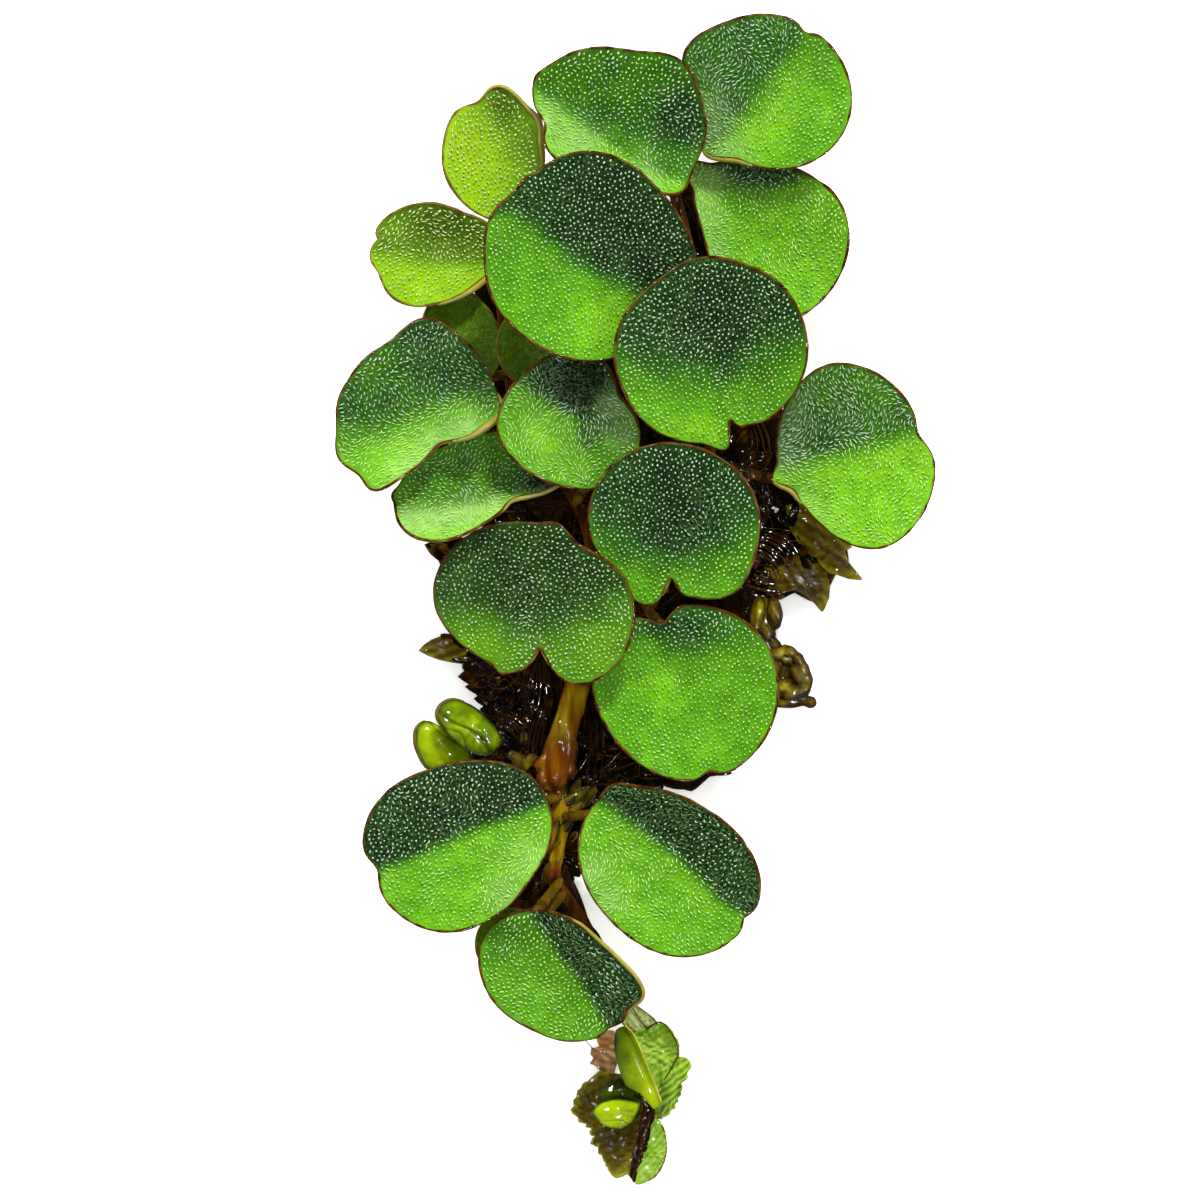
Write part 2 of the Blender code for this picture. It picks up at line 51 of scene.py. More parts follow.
def rgb(red, green, blue):  # 0 to 255 as the lit plant shows them, to the linear values that Blender mixes
    linear = [c / 255 / 12.92 if c < 11 else ((c / 255 + 0.055) / 1.055) ** 2.4 for c in (red, green, blue)]
    return [*(c / lightLevel for c in linear), 1]


def turned(angle):  # a step of one in a heading of so many degrees
    return Vector((math.cos(math.radians(angle)), math.sin(math.radians(angle))))


def gap(first, second):  # signed difference of two angles in degrees
    return (first - second + 180) % 360 - 180


def bumpSum(marks, angle):  # soft bumps round a margin: (angle, amount, spread)
    return sum(amount * math.exp(-(gap(angle, where) / spread) ** 2) for where, amount, spread in marks)


def clamp(value):
    return min(1, max(0, value))


def smooth(low, high, value):
    t = clamp((value - low) / (high - low))
    return t * t * (3 - 2 * t)


def between(ends, share):
    return ends[0] + (ends[1] - ends[0]) * share


def angleOf(place):
    return math.degrees(math.atan2(place.y, place.x))


def noiseAt(place, level, scale):  # soft clouds over the plant, other ones at each level
    return noise.noise(Vector((place.x, place.y, level)) * scale)


def newGroup(name, inputs, outputs):  # inputs: (name, kind, value), outputs: (name, kind)
    group = bpy.data.node_groups.new(name, "ShaderNodeTree")
    for socket, kind, value in inputs:
        made = group.interface.new_socket(socket, in_out="INPUT", socket_type=kind)
        made.default_value = value
    for socket, kind in outputs:
        group.interface.new_socket(socket, in_out="OUTPUT", socket_type=kind)
    return group, group.nodes.new("NodeGroupInput").outputs, group.nodes.new("NodeGroupOutput").inputs


def addNode(tree, kind, **values):  # values name a setting of the node, or an input with _ for spaces
    node = tree.nodes.new(kind)
    for name, value in values.items():
        if hasattr(node, name):
            setattr(node, name, value)
        else:
            node.inputs[name.replace("_", " ")].default_value = value
    return node


def joinTo(tree, value, socket):  # a link where the value is another node's, else a fixed value
    if isinstance(value, bpy.types.NodeSocket):
        tree.links.new(value, socket)
    else:
        socket.default_value = value


def mixColour(tree, factor, first, second):
    node = addNode(tree, "ShaderNodeMix", data_type="RGBA")
    for socket, value in zip((node.inputs[0], node.inputs[6], node.inputs[7]), (factor, first, second)):
        joinTo(tree, value, socket)
    return node.outputs[2]


def calculate(tree, operation, first, second=0.0):
    node = addNode(tree, "ShaderNodeMath", operation=operation)
    joinTo(tree, first, node.inputs[0])
    joinTo(tree, second, node.inputs[1])
    return node.outputs[0]


def rescale(tree, value, low, high, toLow=0.0, toHigh=1.0):
    node = addNode(tree, "ShaderNodeMapRange", From_Min=low, From_Max=high, To_Min=toLow, To_Max=toHigh)
    tree.links.new(value, node.inputs["Value"])
    return node.outputs["Result"]


def growthGroup():  # flecks of a second colour and a fine relief, for anything that grew
    inputs = (("Base", "NodeSocketColor", (0.1, 0.2, 0.05, 1)), ("Fleck", "NodeSocketColor", (0.2, 0.3, 0.05, 1)),
              ("Stretch", "NodeSocketVector", (900, 900, 900)), ("Amount", "NodeSocketFloat", 0.5),
              ("Depth", "NodeSocketFloat", 0.00005), ("Grain", "NodeSocketFloat", 0.6))
    group, given, out = newGroup("growth", inputs, (("Color", "NodeSocketColor"), ("Normal", "NodeSocketVector")))
    spread = addNode(group, "ShaderNodeVectorMath", operation="MULTIPLY")
    group.links.new(addNode(group, "ShaderNodeTexCoord").outputs["Object"], spread.inputs[0])
    group.links.new(given["Stretch"], spread.inputs[1])
    cloud = addNode(group, "ShaderNodeTexNoise", Scale=1.0, Detail=3.0)
    group.links.new(spread.outputs[0], cloud.inputs["Vector"])
    group.links.new(given["Grain"], cloud.inputs["Roughness"])
    fleck = calculate(group, "MULTIPLY", rescale(group, cloud.outputs["Fac"], 0.38, 0.66), given["Amount"])
    group.links.new(mixColour(group, fleck, given["Base"], given["Fleck"]), out["Color"])
    bump = addNode(group, "ShaderNodeBump", Strength=1.0)
    group.links.new(given["Depth"], bump.inputs["Distance"])
    group.links.new(cloud.outputs["Fac"], bump.inputs["Height"])
    group.links.new(bump.outputs["Normal"], out["Normal"])
    return group


def downGroup():  # the finest hairs lie between the upright ones in curly, pale lines
    inputs = (("Scale", "NodeSocketFloat", 3300.0), ("Thread", "NodeSocketFloat", 0.055))
    group, given, out = newGroup("down", inputs, (("Mask", "NodeSocketFloat"),))
    cloud = addNode(group, "ShaderNodeTexNoise", Detail=1.0, Roughness=0.5, Distortion=0.6)
    group.links.new(addNode(group, "ShaderNodeTexCoord").outputs["Object"], cloud.inputs["Vector"])
    group.links.new(given["Scale"], cloud.inputs["Scale"])
    away = calculate(group, "ABSOLUTE", calculate(group, "SUBTRACT", cloud.outputs["Fac"], 0.5))
    line = addNode(group, "ShaderNodeMapRange", From_Min=0.0, To_Min=1.0, To_Max=0.0)
    group.links.new(away, line.inputs["Value"])
    group.links.new(given["Thread"], line.inputs["From Max"])
    group.links.new(line.outputs["Result"], out["Mask"])
    return group


growth = growthGroup()
down = downGroup()


def newMaterial(name, roughness, coat, specular):
    material = bpy.data.materials.new(name)
    material.use_nodes = True
    shader = material.node_tree.nodes["Principled BSDF"]
    shader.inputs["Roughness"].default_value = roughness
    shader.inputs["Specular IOR Level"].default_value = specular
    shader.inputs["Coat Weight"].default_value = coat
    shader.inputs["Coat Roughness"].default_value = 0.05
    return material, material.node_tree, shader


def growOn(tree, shader, base, fleck, stretch, amount, depth, grain=0.6):  # depth of the relief in metres
    node = addNode(tree, "ShaderNodeGroup", node_tree=growth, Fleck=rgb(*fleck), Stretch=stretch, Amount=amount,
                   Depth=depth, Grain=grain)
    joinTo(tree, base, node.inputs["Base"])
    tree.links.new(node.outputs["Color"], shader.inputs["Base Color"])
    tree.links.new(node.outputs["Normal"], shader.inputs["Normal"])
    tree.links.new(node.outputs["Normal"], shader.inputs["Coat Normal"])


def attributeOf(tree, name):
    return addNode(tree, "ShaderNodeAttribute", attribute_name=name).outputs["Fac"]


def toneRamp(tree, factor, tones):  # tones: (position, colour) from shaded to sunlit
    ramp = addNode(tree, "ShaderNodeValToRGB")
    stops = ramp.color_ramp.elements
    while len(stops) < len(tones):
        stops.new(0.5)
    for stop, (position, tone) in zip(stops, tones):
        stop.position = position
        stop.color = rgb(*tone)
    tree.links.new(factor, ramp.inputs["Fac"])
    return ramp.outputs["Color"]


def leafFinish(name, tones, fleck, paleDown, hem):  # shade, lying, bloom and edge are painted on each blade
    material, tree, shader = newMaterial(name, roughness=0.7, coat=0.0, specular=0.04)
    tone = toneRamp(tree, attributeOf(tree, "shade"), tones)
    threads = addNode(tree, "ShaderNodeGroup", node_tree=down).outputs["Mask"]
    showing = rescale(tree, attributeOf(tree, "lying"), 0.0, 1.0, 0.12, 0.55)
    misted = mixColour(tree, attributeOf(tree, "bloom"), tone, rgb(*paleDown))  # dense hairs blur to a pale bloom
    haired = mixColour(tree, calculate(tree, "MULTIPLY", threads, showing), misted, rgb(*paleDown))
    browned = mixColour(tree, attributeOf(tree, "edge"), haired, rgb(*hem))
    growOn(tree, shader, browned, fleck, (1500,) * 3, amount=0.3, depth=0.00008)
    return material


def grownFinish(name, tones, fleck, stretch, amount, depth, roughness, coat, specular, grain=0.6):
    material, tree, shader = newMaterial(name, roughness, coat, specular)
    tone = toneRamp(tree, attributeOf(tree, "shade"), tones) if len(tones) > 1 else rgb(*tones[0])
    growOn(tree, shader, tone, fleck, stretch, amount, depth, grain)
    return material


leafLooks = dict(  # material's name, tones from shaded to sunlit, flecks, the down between the hairs, margin
    green=("leafGreen", ((0.0, (2, 10, 3)), (0.15, (9, 38, 7)), (0.3, (17, 60, 6)), (0.5, (48, 110, 3)),
                         (0.75, (88, 164, 0)), (1.0, (132, 210, 4))), (26, 84, 4), (166, 208, 122), (112, 84, 14)),
    tawny=("leafTawny", ((0.0, (4, 10, 2)), (0.15, (11, 38, 5)), (0.3, (26, 66, 4)), (0.5, (64, 116, 2)),
                         (0.75, (102, 164, 2)), (1.0, (142, 208, 8))), (44, 84, 4), (168, 206, 112), (112, 84, 14)),
    young=("leafYoung", ((0.0, (44, 70, 2)), (0.4, (84, 124, 2)), (0.75, (124, 180, 2)), (1.0, (158, 206, 10))),
           (96, 152, 4), (200, 238, 96), (196, 192, 40)),
)
grownLooks = dict(  # name, one tone or several by the painted shade, flecks, their scale, amount and depth,
    # roughness, coat, specular, and how fine the grain is
    under=("leafUnderside", ((138, 132, 16),), (190, 180, 62), (700,) * 3, 0.6, 0.00004, 0.4, 0.0, 0.4),
    rim=("leafRim", ((50, 20, 5),), (158, 104, 30), (1100,) * 3, 0.36, 0.00015, 0.4, 0.5, 0.0),
    youngRim=("leafRimYoung", ((118, 98, 14),), (70, 40, 8), (900,) * 3, 0.8, 0.00004, 0.4, 0.1, 0.1),
    # hair colours as lit and shaded copies of one colour, picked by the painted shade of the blade under each hair
    sunHair=("leafHairSunlit", ((212, 255, 150),), (160, 228, 80), (1200,) * 3, 0.6, 0.00002, 0.6, 0.0, 0.1),
    hair=("leafHair", ((210, 240, 200),), (150, 200, 146), (1200,) * 3, 0.6, 0.00002, 0.6, 0.0, 0.1),
    lyingShadedHair=("leafHairLyingShaded", ((122, 164, 114),), (78, 120, 74), (1200,) * 3, 0.8, 0.00002, 0.6, 0.0, 0.1),
    darkHair=("leafHairShaded", ((40, 58, 36),), (16, 34, 12), (1200,) * 3, 0.8, 0.00002, 0.6, 0.0, 0.1),
    youngHair=("leafHairYoung", ((240, 255, 196),), (208, 246, 116), (1200,) * 3, 0.6, 0.00002, 0.6, 0.0, 0.1),
    stalk=("leafStalk", ((112, 84, 10),), (44, 22, 5), (900,) * 3, 0.9, 0.00012, 0.4, 0.5, 0.0),
    mass=("frondMass", ((0.0, (5, 2, 1)), (0.35, (12, 5, 2)), (0.55, (46, 20, 4)), (0.75, (88, 50, 10)),
                        (1.0, (132, 102, 34))), (20, 9, 2), (1000,) * 3, 0.5, 0.0003, 0.5, 0.4, 0.0, 0.4),
    olive=("frondOlive", ((0.0, (24, 12, 2)), (0.4, (74, 58, 4)), (0.7, (122, 108, 6)), (1.0, (178, 172, 34))),
           (84, 54, 6), (800,) * 3, 0.4, 0.00014, 0.5, 1.0, 0.0, 0.36),
    tipOlive=("budFrond", ((0.0, (36, 22, 4)), (0.4, (92, 78, 10)), (0.7, (128, 122, 20)), (1.0, (172, 170, 52))),
              (80, 54, 8), (900,) * 3, 0.4, 0.0001, 0.5, 0.35, 0.0, 0.36),
    thread=("frondRib", ((14, 5, 2),), (84, 42, 8), (420,) * 3, 0.6, 0.00006, 0.4, 1.0, 0.0),
    fibre=("frondFibre", ((96, 58, 18),), (24, 10, 3), (420,) * 3, 0.9, 0.00003, 0.4, 0.8, 0.0),
    stem=("stemSkin", ((0.0, (32, 14, 3)), (0.35, (122, 58, 4)), (0.7, (162, 126, 8)), (1.0, (198, 172, 26))),
          (110, 64, 6), (1800, 400, 1800), 0.6, 0.0003, 0.45, 0.3, 0.0, 0.5),
    bean=("unopenedLeaf", ((0.0, (34, 44, 2)), (0.5, (106, 134, 3)), (1.0, (178, 204, 8))),
          (72, 100, 3), (800,) * 3, 0.22, 0.00014, 0.5, 1.0, 0.0, 0.36),
    budGreen=("budLeaf", ((0.0, (50, 60, 3)), (0.5, (108, 156, 8)), (1.0, (178, 214, 70))),
              (176, 212, 96), (1500, 800, 800), 0.22, 0.00012, 0.5, 0.6, 0.0, 0.4),
    blush=("budFrondTips", ((0.0, (66, 30, 10)), (0.5, (146, 100, 58)), (1.0, (206, 178, 132))),
           (104, 60, 28), (700,) * 3, 0.5, 0.0001, 0.4, 0.5, 0.0, 0.4),
    pale=("budSheath", ((126, 150, 62),), (198, 206, 146), (2400, 300, 900), 0.7, 0.00015, 0.4, 0.4, 0.0),
    gold=("budFold", ((200, 190, 44),), (150, 130, 20), (900,) * 3, 0.5, 0.00004, 0.35, 0.3, 0.1),
)
finishes = {kind: leafFinish(*look) for kind, look in leafLooks.items()}
finishes.update({kind: grownFinish(*look) for kind, look in grownLooks.items()})
print("materials done", len(finishes))


def attach(piece, node, slot):
    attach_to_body(piece, "root")
    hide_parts(node)


def inScene(name, data):
    made = bpy.data.objects.new(name, data)
    bpy.context.scene.collection.objects.link(made)
    return made


def objectFrom(name, bm, materials):  # from millimetres to metres, and into the scene
    bmesh.ops.scale(bm, vec=(mm, mm, mm), verts=bm.verts)
    mesh = bpy.data.meshes.new(name)
    bm.to_mesh(mesh)
    bm.free()
    mesh.shade_smooth()
    for material in materials:
        mesh.materials.append(material)
    return inScene(name, mesh)


def thicken(piece, thickness, materials=0):  # materials: step to the underside's and the rim's slots
    wall = piece.modifiers.new("wall", "SOLIDIFY")
    wall.thickness = thickness * mm
    wall.offset = -1
    wall.material_offset = materials
    wall.material_offset_rim = materials
    return wall


def roundSheet(rings, spokes):  # a unit disc: a row of points spun a full turn
    bm = bmesh.new()
    row = [bm.verts.new((share, 0, 0)) for share in rings]
    edges = [bm.edges.new(pair) for pair in zip(row, row[1:])]
    bmesh.ops.spin(bm, geom=row + edges, cent=(0, 0, 0), axis=(0, 0, 1), angle=2 * math.pi, steps=spokes,
                   use_merge=True)
    bmesh.ops.remove_doubles(bm, verts=bm.verts, dist=1e-6)
    bmesh.ops.recalc_face_normals(bm, faces=bm.faces)
    if next(iter(bm.faces)).normal.z < 0:
        bmesh.ops.reverse_faces(bm, faces=bm.faces)
    return bm


def strandObject(name, strands, materials, sides=0):
    # strands: (points in mm, radii in mm, material number, closed), all round tubes
    curve = bpy.data.curves.new(name, "CURVE")
    curve.dimensions = "3D"
    curve.bevel_depth = mm
    curve.bevel_resolution = sides
    curve.use_fill_caps = True
    for material in materials:
        curve.materials.append(material)
    for points, radii, number, closed in strands:
        line = curve.splines.new("POLY")
        line.points.add(len(points) - 1)
        line.points.foreach_set("co", [value for point in points for value in (*(point * mm), 1)])
        line.points.foreach_set("radius", radii)
        line.material_index = number
        line.use_cyclic_u = closed
        line.use_smooth = True
    drawn = inScene(name, curve)
    mesh = bpy.data.meshes.new_from_object(drawn)
    bpy.data.objects.remove(drawn)
    mesh.name = name
    return inScene(name, mesh)


# Per leaf: middle, heading of the tip, reach to the tip, left, base and right margins, squareness of the oval,
# swells and notches of the margin, height, slopes, folds, cup, stalk and its foot on the stem, then the looks: the
# crease that parts the painted light from the painted shade (walked with the light side on the right), the shades
# of both sides, how soft the change is, how much the hairs lie down on either side and how pale their fuzz is, spots
# (place, radius in mm, change of shade; some are painted shadows of neighbouring leaves and of deep folds), places of
# long fuzz, margins that curl inwards, finish, and whether the leaf is bare of hairs.
leafUsual = dict(squareness=2.0, swells=(), pitch=0.05, roll=0.0, stalk=180, soft=1.0, bloom=0.32, fuzz=(),
    curls=(), finish="green", bare=False)
leafPlans = {
    "leaf_top_right": dict(
        at=(9.8, 36.4), heading=54, reach=(5.3, 5.9, 5.5, 6.0),
        swells=((6, -0.08, 8), (102, 0.17, 22), (169, 0.2, 15)),
        height=6.9, pitch=0.1, fold=(0.3, 0.25), cup=0.4, foot=(4.6, 32.9, 4.0),
        crease=((700, 172), (715, 152), (750, 105), (780, 70), (806, 32), (812, 10)), shades=(0.42, 0.8), soft=0.9,
        lying=(0.6, 0.25),
        spots=((826, 50, 2.2, -0.15), (800, 150, 1.6, -0.1), (700, 110, 1.0, 0.15), (770, 130, 2.4, 0.12),
            (735, 100, 1.4, -0.12)), fuzz=((705, 115, 1.6), (725, 152, 1.6)), curls=((-176, 0.02, 12),)),
    "leaf_top_middle": dict(
        at=(-1.3, 34.5), heading=161, reach=(6.1, 5.0, 6.6, 4.8), squareness=2.1,
        swells=((-119, 0.19, 23), (-7, 0.07, 11), (25, -0.12, 11), (148, 0.17, 13)),
        height=7.9, pitch=0.02, roll=-0.26, fold=(0.85, 0.2), cup=0.5, stalk=176, foot=(2.8, 29.3, 4.0),
        crease=((520, 80), (535, 92), (565, 115), (605, 142), (655, 175), (690, 185)), shades=(0.56, 0.85),
        soft=0.5, lying=(0.25, 1.0), bloom=0.5,
        spots=((682, 118, 2.6, -0.3), (650, 80, 1.6, 0.05), (600, 125, 1.5, -0.12)),
        fuzz=((545, 120, 1.2), (580, 147, 1.4), (640, 182, 1.2))),
    "leaf_top_left": dict(
        at=(-9.6, 31.6), heading=98, reach=(5.6, 4.2, 4.6, 3.1), squareness=1.8,
        swells=((-55, 0.12, 17), (13, -0.18, 17)),
        height=5.6, fold=(0.25, 0.6), cup=0.6, foot=(-9.7, 26.3, 3.9),
        crease=((470, 80), (505, 140), (520, 170), (500, 205)), shades=(0.42, 0.95), soft=1.6, lying=(0.3, 0.3),
        spots=((505, 105, 1.4, -0.25), (460, 150, 1.8, 0.15), (525, 120, 1.2, 0.2)), curls=((-72, 0.05, 45),),
        finish="young"),
    "leaf_left_high": dict(
        at=(-14.6, 25.6), heading=169, reach=(4.0, 4.6, 5.2, 2.9), squareness=1.7,
        swells=((8, -0.05, 4), (26, 0.13, 13), (62, 0.14, 24), (-148, 0.1, 13)),
        height=5.4, fold=(0.25, 0.35), cup=0.6, foot=(-9.7, 24.5, 3.9),
        crease=((360, 250), (380, 255), (430, 262), (484, 265), (500, 265)), shades=(0.28, 0.85), lying=(0.4, 0.2),
        spots=((455, 225, 1.8, -0.15), (395, 225, 1.2, 0.3)), curls=((150, 0.04, 25),), finish="young"),
    "leaf_largest": dict(
        at=(-2.8, 25.7), heading=134, reach=(6.4, 8.6, 8.3, 5.8), squareness=2.2,
        swells=((6, 0.04, 5), (34, 0.09, 18)),
        height=10.3, pitch=0.26, fold=(0.22, 0.28), cup=0.6, foot=(4.4, 21.4, 4.0),
        crease=((440, 205), (520, 215), (575, 262), (635, 293), (710, 300)), shades=(0.17, 0.72), soft=1.3,
        lying=(0.2, 0.1),
        spots=((600, 325, 2.6, 0.2), (500, 250, 2.0, -0.08), (540, 180, 1.8, 0.05), (640, 240, 1.8, -0.04),
            (540, 200, 2.0, 0.06))),
    "leaf_right_high": dict(
        at=(10.4, 25.3), heading=-39, reach=(4.8, 5.5, 7.8, 4.6), squareness=1.9,
        swells=((-153, -0.11, 21), (-43, 0.14, 26), (177, 0.19, 6)),
        height=4.9, pitch=0.08, fold=(0.18, 0.35), cup=0.4, stalk=176, foot=(3.4, 30.8, 3.9),
        crease=((690, 160), (712, 166), (740, 182), (780, 186), (805, 176), (830, 160)), shades=(0.2, 0.84),
        soft=0.9, lying=(0.6, 0.35),
        spots=((740, 190, 1.6, -0.12), (720, 240, 1.6, -0.1), (745, 240, 2, -0.04)),
        fuzz=((704, 215, 1.3), (710, 250, 1.2), (697, 180, 1.3), (712, 180, 1.0))),
    "leaf_center_high": dict(
        at=(5.1, 17.7), heading=112, reach=(6.0, 6.6, 6.4, 7.3), squareness=2.2,
        swells=((-175, -0.07, 9), (-15, 0.11, 24), (170, 0.12, 9), (177, -0.22, 4)),
        height=9.1, pitch=0.26, fold=(0.2, 0.2), cup=0.7, foot=(5.8, 13.2, 4.0),
        crease=((590, 350), (650, 372), (720, 380), (780, 352), (820, 330)), shades=(0.22, 0.78), soft=3.2,
        lying=(0.2, 0.1),
        spots=((714, 322, 2.6, -0.12), (700, 430, 1.6, 0.15), (650, 400, 1.8, 0.02), (770, 400, 1.8, -0.1),
            (640, 300, 1.6, 0.08))),
    "leaf_left_middle": dict(
        at=(-15.3, 13.5), heading=-153, reach=(5.8, 4.2, 5.7, 5.4), squareness=2.6,
        swells=((-119, 0.16, 18), (-52, -0.05, 17), (3, 0.17, 16), (33, 0.2, 11), (95, -0.33, 36), (153, 0.07, 9)),
        height=6.6, fold=(0.85, 0.25), cup=0.5, stalk=156, foot=(-8.9, 14.4, 3.8),
        crease=((330, 440), (380, 428), (440, 408), (510, 380)), shades=(0.38, 0.8), soft=2.0, lying=(0.5, 0.75),
        bloom=0.5,
        spots=((430, 335, 2.0, -0.1), (380, 365, 2.0, 0.12), (462, 372, 1.4, -0.1), (490, 405, 1.2, -0.3),
            (405, 462, 1.6, 0.2)), fuzz=((440, 448, 1.4), (470, 430, 1.2), (410, 470, 1.3)),
        curls=((139, 0.05, 15),)),
    "leaf_left_folded": dict(
        at=(-11.3, 8.9), heading=-172, reach=(4.8, 3.1, 8.7, 3.1), squareness=2.6,
        swells=((-166, -0.42, 22), (-45, -0.13, 40), (5, 0.08, 5), (43, 0.5, 45), (144, -0.3, 27)),
        height=6.2, fold=(0.85, 0.25), cup=0.4, stalk=171, foot=(-5.9, 9.4, 3.8),
        crease=((380, 520), (397, 515), (435.5, 511.8), (474, 506.5), (502, 499.5), (530, 490.8), (570, 488)),
        shades=(0.56, 0.95), soft=0.3, lying=(0.5, 1.0), bloom=0.65,
        spots=((545, 478, 1.5, -0.6), (560, 492, 0.9, -0.3), (400, 490, 1.2, 0.12)),
        fuzz=((405, 522, 0.9), (425, 521, 0.9), (447, 518, 0.9), (470, 513, 0.9), (495, 507, 0.8), (520, 501, 0.6),
            (545, 494, 0.5)), curls=((150, 0.02, 20),)),
    "leaf_center_left": dict(
        at=(-3.7, 12.8), heading=95, reach=(5.3, 6.2, 4.9, 4.0), squareness=1.8,
        swells=((-130, 0.12, 32), (-60, -0.2, 28)),
        height=7.4, roll=0.09, fold=(0.25, 0.4), cup=0.5, foot=(-4.1, 7.2, 3.9),
        crease=((575, 340), (583, 365), (588, 420), (590, 485), (592, 520)), shades=(0.62, 0.66), lying=(0.35, 0.9),
        spots=((585, 368, 1.9, -0.7), (580, 388, 1.5, -0.55), (590, 410, 1.1, -0.35), (588, 435, 0.9, -0.25),
            (540, 368, 1.6, -0.35), (555, 390, 1.3, -0.2), (535, 440, 2.0, 0.24), (570, 475, 1.5, 0.12),
            (617, 420, 1.3, -0.22), (612, 390, 1.2, -0.25)), fuzz=((612, 405, 1.1), (621, 435, 1.1))),
    "leaf_center": dict(
        at=(2.5, 5.7), heading=84, reach=(5.6, 5.9, 5.1, 6.5),
        swells=((-135, 0.22, 23), (169, 0.24, 21), (187, -0.31, 7)),
        height=8.0, pitch=0.26, roll=-0.08, fold=(0.12, 0.12), cup=0.9, foot=(1.9, 1.1, 4.0),
        crease=((570, 505), (610, 545), (670, 558), (730, 545), (775, 500)), shades=(0.25, 0.66), soft=2.2,
        lying=(0.2, 0.1),
        spots=((678, 485, 2.6, -0.08), (685, 530, 2.2, -0.12), (620, 490, 1.8, 0.06), (735, 500, 1.8, 0.08),
            (640, 590, 1.6, 0.12), (605, 540, 1.4, 0.08), (715, 575, 1.8, 0.04))),
    "leaf_right_middle": dict(
        at=(15.8, 10.0), heading=17, reach=(5.9, 7.2, 6.0, 6.7), squareness=1.8,
        swells=((-155, -0.16, 44), (5, -0.1, 14), (15, -0.07, 34), (176, 0.13, 8)),
        height=6.0, pitch=0.1, fold=(0.28, 0.22), cup=0.4, foot=(9.9, 8.7, 3.9),
        crease=((760, 472), (782, 467), (853, 449.6), (917, 434), (950, 426)), shades=(0.42, 0.92), soft=0.9,
        lying=(0.7, 0.35), bloom=0.16,
        spots=((800, 440, 2.0, -0.15), (840, 430, 1.6, -0.05), (880, 395, 2.0, 0.08), (850, 375, 1.5, 0.06),
            (800, 490, 1.4, -0.15)),
        fuzz=((786, 430, 1.4), (788, 400, 1.2), (800, 505, 1.2), (820, 530, 1.2), (786, 460, 1.2)),
        curls=((-172, 0.03, 8),)),
    "leaf_left_low": dict(
        at=(-6.9, -0.6), heading=73, reach=(6.1, 7.7, 4.9, 7.0), squareness=2.1,
        swells=((-160, -0.45, 13), (-133, 0.08, 23), (-18, -0.11, 26), (3, 0.09, 11), (167, 0.08, 7)),
        height=7.9, pitch=0.0, roll=-0.26, fold=(0.08, 0.08), cup=0.6, stalk=-160, foot=(-4.3, -4.0, 4.5),
        crease=((420, 600), (480, 615), (545, 620), (600, 610), (650, 590)), shades=(0.22, 0.54), soft=2.2,
        lying=(0.15, 0.15),
        spots=((520, 565, 2.6, -0.04), (455, 565, 1.3, 0.14), (480, 640, 1.8, 0.14), (600, 655, 1.8, 0.12),
            (615, 600, 1.0, 0.12), (530, 620, 1.6, -0.14)), finish="tawny"),
    "leaf_right_low": dict(
        at=(3.8, -6.2), heading=-72, reach=(6.8, 6.5, 5.8, 6.3),
        swells=((-176, -0.2, 11), (-135, 0.14, 45), (-4, -0.08, 7)),
        height=6.6, pitch=0.0, fold=(0.15, 0.15), cup=0.5, stalk=-176, foot=(0.9, -0.6, 4.0),
        crease=((580, 640), (640, 655), (690, 650), (760, 640)), shades=(0.46, 0.76), soft=2.0, lying=(0.2, 0.1),
        spots=((665, 690, 1.5, 0.14), (650, 650, 1.0, 0.12), (705, 745, 1.2, 0.1), (735, 665, 2.0, 0.0),
            (690, 635, 1.6, -0.2), (660, 622, 1.0, -0.25))),
    "leaf_bottom_left": dict(
        at=(-13.8, -17.2), heading=-157, reach=(5.7, 6.6, 8.2, 5.2), squareness=2.1,
        swells=((1, -0.11, 13), (135, -0.05, 20)),
        height=6.4, fold=(0.2, 0.35), cup=0.3, foot=(-5.7, -14.2, 4.1),
        crease=((350, 878), (378, 869), (410, 858), (452, 838), (497, 821), (546, 803), (560, 797)),
        shades=(0.15, 0.82), soft=0.8, lying=(0.28, 0.3),
        spots=((395, 815, 1.8, 0.1), (520, 800, 1.6, -0.1), (535, 860, 1.5, 0.1), (420, 890, 1.6, -0.08)),
        fuzz=((530, 860, 1.2), (505, 895, 1.2))),
    "leaf_bottom_right": dict(
        at=(3.2, -19.4), heading=-36, reach=(6.2, 4.9, 7.8, 5.9), squareness=2.1,
        swells=((1, -0.07, 7), (163, 0.07, 8)),
        height=6.0, fold=(0.35, 0.2), cup=0.3, foot=(-4.7, -15.4, 4.0),
        crease=((585, 790), (599.5, 800), (648.6, 832.6), (690.7, 866), (719, 897), (744, 914), (770, 935)),
        shades=(0.12, 0.8), soft=0.8, lying=(0.55, 0.35),
        spots=((730, 868, 1.6, 0.14), (640, 808, 1.4, -0.05), (720, 925, 1.6, -0.04)),
        fuzz=((592, 870, 1.0), (610, 900, 1.0))),
    "leaf_bottom": dict(
        at=(-6.1, -27.7), heading=-49, reach=(4.5, 5.0, 6.1, 4.0), squareness=2.1,
        swells=((-60, -0.21, 45), (18, -0.18, 11), (35, 0.5, 30), (34, -0.22, 8)),
        height=6.0, pitch=0.0, fold=(0.7, 0.2), cup=0.3, stalk=152, foot=(-5.5, -20.3, 4.0),
        crease=((520, 885), (531, 909), (556, 947), (582, 982), (599, 1010.6), (612, 1035)), shades=(0.1, 0.74),
        soft=0.7, lying=(0.6, 0.3),
        spots=((528, 925, 1.5, -0.1), (500, 945, 1.6, -0.2), (612, 985, 1.6, 0.12), (560, 924, 0.9, 0.12),
            (590, 945, 0.9, 0.14), (615, 966, 0.9, 0.14), (600, 955, 1.0, 0.02)), curls=((76, 0.008, 40),)),
    "leaf_hidden_left": dict(
        at=(-12.2, 18.6), heading=110, reach=(3.9, 2.9, 3.4, 2.7),
